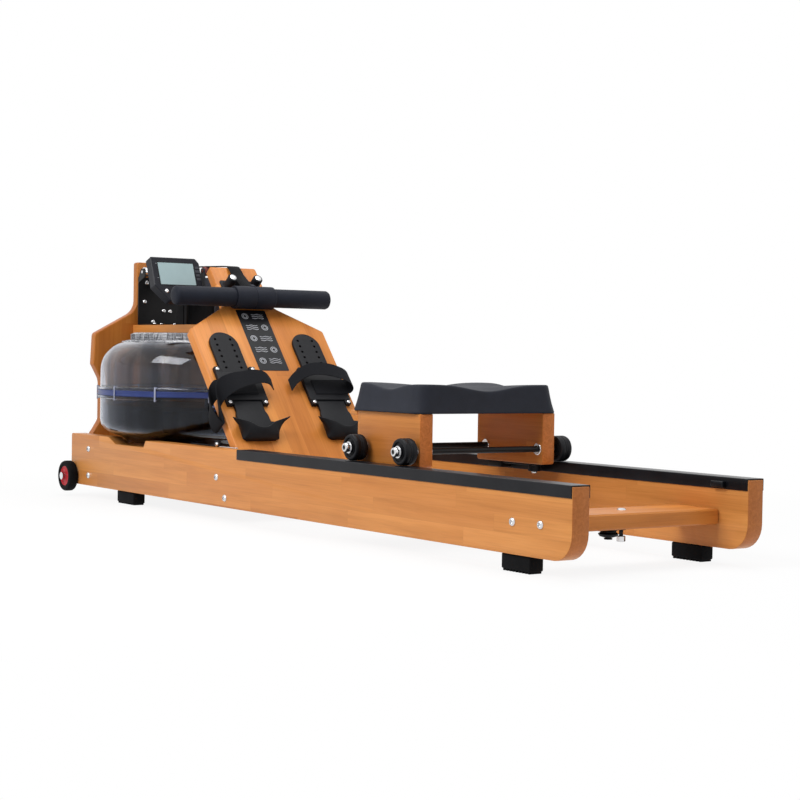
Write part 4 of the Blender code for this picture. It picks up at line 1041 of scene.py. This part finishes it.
def pad_outline(reach):
    """Points of the pad's outline as shares of its half size."""
    corners = mirrored([(PAD_HALF_X, PAD_HALF_Y, PAD_CORNER_R), (-PAD_HALF_X, PAD_HALF_Y, PAD_CORNER_R)])
    path = rounded(corners, 8)
    ring = []
    for k, point in enumerate(path):
        after = path[(k + 1) % len(path)]
        count = max(1, round(math.dist(point, after) / reach))
        for s in range(count):
            x = point[0] + (after[0] - point[0]) * s / count
            y = point[1] + (after[1] - point[1]) * s / count
            ring.append((x / PAD_HALF_X, y / PAD_HALF_Y))
    return ring


pad_mesh = bmesh.new()
levels = [(1, 0), (1.003, 0.015), (1.003, 0.055), (0.998, 0.1), (0.98, 0.3), (0.962, 0.55), (0.95, 0.76)]
levels += [(0.943, 0.88), (0.938, 0.945), (0.93, 0.982), (0.918, 0.997), (0.9, 1)]
levels += [(0.87 - 0.065 * k, 1) for k in range(13)]
ring_shape = pad_outline(PAD_POINT_GAP)
rings = []
for z in (POCKET_Z, 0.0):
    ring = [(a * POCKET_SHARE * PAD_HALF_X, b * POCKET_SHARE * PAD_HALF_Y, z) for a, b in ring_shape]
    rings.append([pad_mesh.verts.new(point) for point in ring])
for share, rise in levels:
    ring = []
    for a, b in ring_shape:
        z = rise * (pad_top(a * share, b * share) - PAD_BOTTOM_Z)
        ring.append(pad_mesh.verts.new((a * share * PAD_HALF_X, b * share * PAD_HALF_Y, z)))
    rings.append(ring)
for below, above in zip(rings, rings[1:]):
    for k in range(len(below)):
        after = (k + 1) % len(below)
        pad_mesh.faces.new((below[k], below[after], above[after], above[k]))
pad_mesh.faces.new(rings[-1])
pad_mesh.faces.new(list(reversed(rings[0])))
pad = Shape(at((PAD_FRONT_X + PAD_REAR_X) / 2, 0, PAD_BOTTOM_Z)).take(pad_mesh)
pad = pad.done("seat_cushion", "seat", PAD, "seat_skin", "seat_pad", sharp=60)

# Small wooden stop at the front of the seat and the guides that keep the seat on the rails
GUIDE_ROLLER = mm((0, 13), (12.5, 13), (14, 11.5), (14, 1.5), (12.5, 0), (0, 0))
GUIDE_BOLT = mm((0, 0), (5.5, 0), (6.2, -0.8), (6.2, -3.2), (5, -4.2), (0, -4.2))
tab = Shape().block((0.253, -0.176, 0.264), (0.2798, -0.12, 0.2738), edge=0.002)
tab.done("seat_tab", "seat", WOOD_SEAT, "wood")
for side, sign in SIDES:
    guide = Shape()
    low, high = span(sign, 0.158, 0.19)
    guide.block((0.3, low, 0.15), (0.345, high, 0.1648), edge=0.003)
    low, high = span(sign, 0.163, 0.186)
    guide.block((0.335, low, 0.159), (0.462, high, 0.1648), edge=0.0015)
    place = at(0.4417, sign * 0.176, 0.147)
    guide.turned(GUIDE_ROLLER, place, 40)
    guide.turned(GUIDE_BOLT, place, 6, 1)
    guide.done(f"seat_guide_{side}", "seat", [BLACK, STEEL], "black_plastic")

# Frame round the monitor's display
BORDER = 0.0018
low_a, low_y, high_a, high_y = -0.0315, -0.052, 0.0305, 0.051
bezel = Shape(MONITOR)
for a, y, end_a, end_y in (
    (low_a - BORDER, low_y - BORDER, low_a, high_y + BORDER),
    (high_a, low_y - BORDER, high_a + BORDER, high_y + BORDER),
    (low_a - BORDER, low_y - BORDER, high_a + BORDER, low_y),
    (low_a - BORDER, high_y, high_a + BORDER, high_y + BORDER),
):
    bezel.block((a, y, -0.0006), (end_a, end_y, 0.0005), edge=0.0003, segments=2)
bezel.done("display_frame", "monitor", BLACK_SATIN, "black_plastic")

# Rivet and marks on the monitor's face
marks = Shape(MONITOR)
bolt_shape(marks, at(0.0482, -0.0379, 0.0), 0.0055, 0.0022)
for a, y in ((-0.0274, -0.0556), (0.0122, -0.055)):
    marks.block((a - 0.0004, y - 0.0026, -0.0002), (a + 0.0004, y + 0.0026, 0.0003), edge=0.0001, material=1)
marks.done("monitor_marks", "monitor", [STEEL, PALE_INK], "chrome")

# Bolt through the rear cross board, with its nut under the return pulley's bracket
through = Shape(at(0.915, 0.004, 0))
through.turned(mm((0, 111.5), (4, 111.3), (7.5, 110), (8.8, 108.2), (8.8, 108), (0, 108)), steps=32)
through.turned(mm((8, 58.6), (8.6, 57.8), (8.6, 48.6), (7.6, 47.6), (0, 47.6), (0, 58.6)), steps=6)
through.done("cross_board_bolt", "frame", STEEL, "chrome", sharp=30)

# Pale floor that keeps the shadow close to the machine and fades to white
WHITE = (1.0, 1.0, 1.0)
FLOOR_HALF = 12
n = material("floor_finish")
n.set(colour=(0.9, 0.9, 0.9), rough=0.9, specular=0.1)
distance = n.new("ShaderNodeVectorMath", {0: n.where()}, operation="LENGTH").outputs["Value"]
shade = n.remap(distance, 0.12, 0.0, 0.9, 1.9)
share = n.times(n.plain_ray(), n.math("SUBTRACT", 1.0, shade))
glow = n.new("ShaderNodeEmission", {0: WHITE, 1: 1.0})
mixed = n.new("ShaderNodeMixShader", {0: share, 1: n.shader.outputs[0], 2: glow.outputs[0]})
n.put(n.tree.nodes["Material Output"].inputs[0], mixed.outputs[0])
floor_mesh = bpy.data.meshes.new("floor")
corners = [(a * FLOOR_HALF, b * FLOOR_HALF, 0) for a, b in ((-1, -1), (1, -1), (1, 1), (-1, 1))]
floor_mesh.from_pydata(corners, [], [(0, 1, 2, 3)])
floor_mesh.materials.append(n.owner)
floor = add_object("floor", floor_mesh)
floor.location.z = -0.0005

# Lights and the white surround
FILL_STRENGTH = 0.3
sky = bpy.data.worlds.new("surround")
bpy.context.scene.world = sky
n = Nodes(sky)
n.tree.nodes.clear()
seen = n.new("ShaderNodeBackground", {0: WHITE, 1: 1.0})
fill = n.new("ShaderNodeBackground", {0: (0.95, 0.97, 1.0), 1: FILL_STRENGTH})
mixed = n.new("ShaderNodeMixShader", {0: n.plain_ray(), 1: fill.outputs[0], 2: seen.outputs[0]})
n.new("ShaderNodeOutputWorld", {0: mixed.outputs[0]})


def lamp(name, location, target, size, power):
    """An area light that faces its target."""
    data = bpy.data.lights.new(name, "AREA")
    data.shape = "RECTANGLE"
    data.size, data.size_y = size
    data.energy = power
    made = add_object(name, data)
    made.location = location
    made.rotation_euler = (Vector(target) - Vector(location)).to_track_quat("-Z", "Y").to_euler()


lamp("key", (0.2, -3, 2.6), (-0.1, 0, 0.2), (2.4, 1.6), 92)
lamp("top", (0.2, 0.3, 3.4), (-0.1, 0, 0.2), (3, 2), 66)
lamp("rear", (3.2, 1.4, 1.8), (0.2, 0, 0.2), (1.6, 1.4), 12)
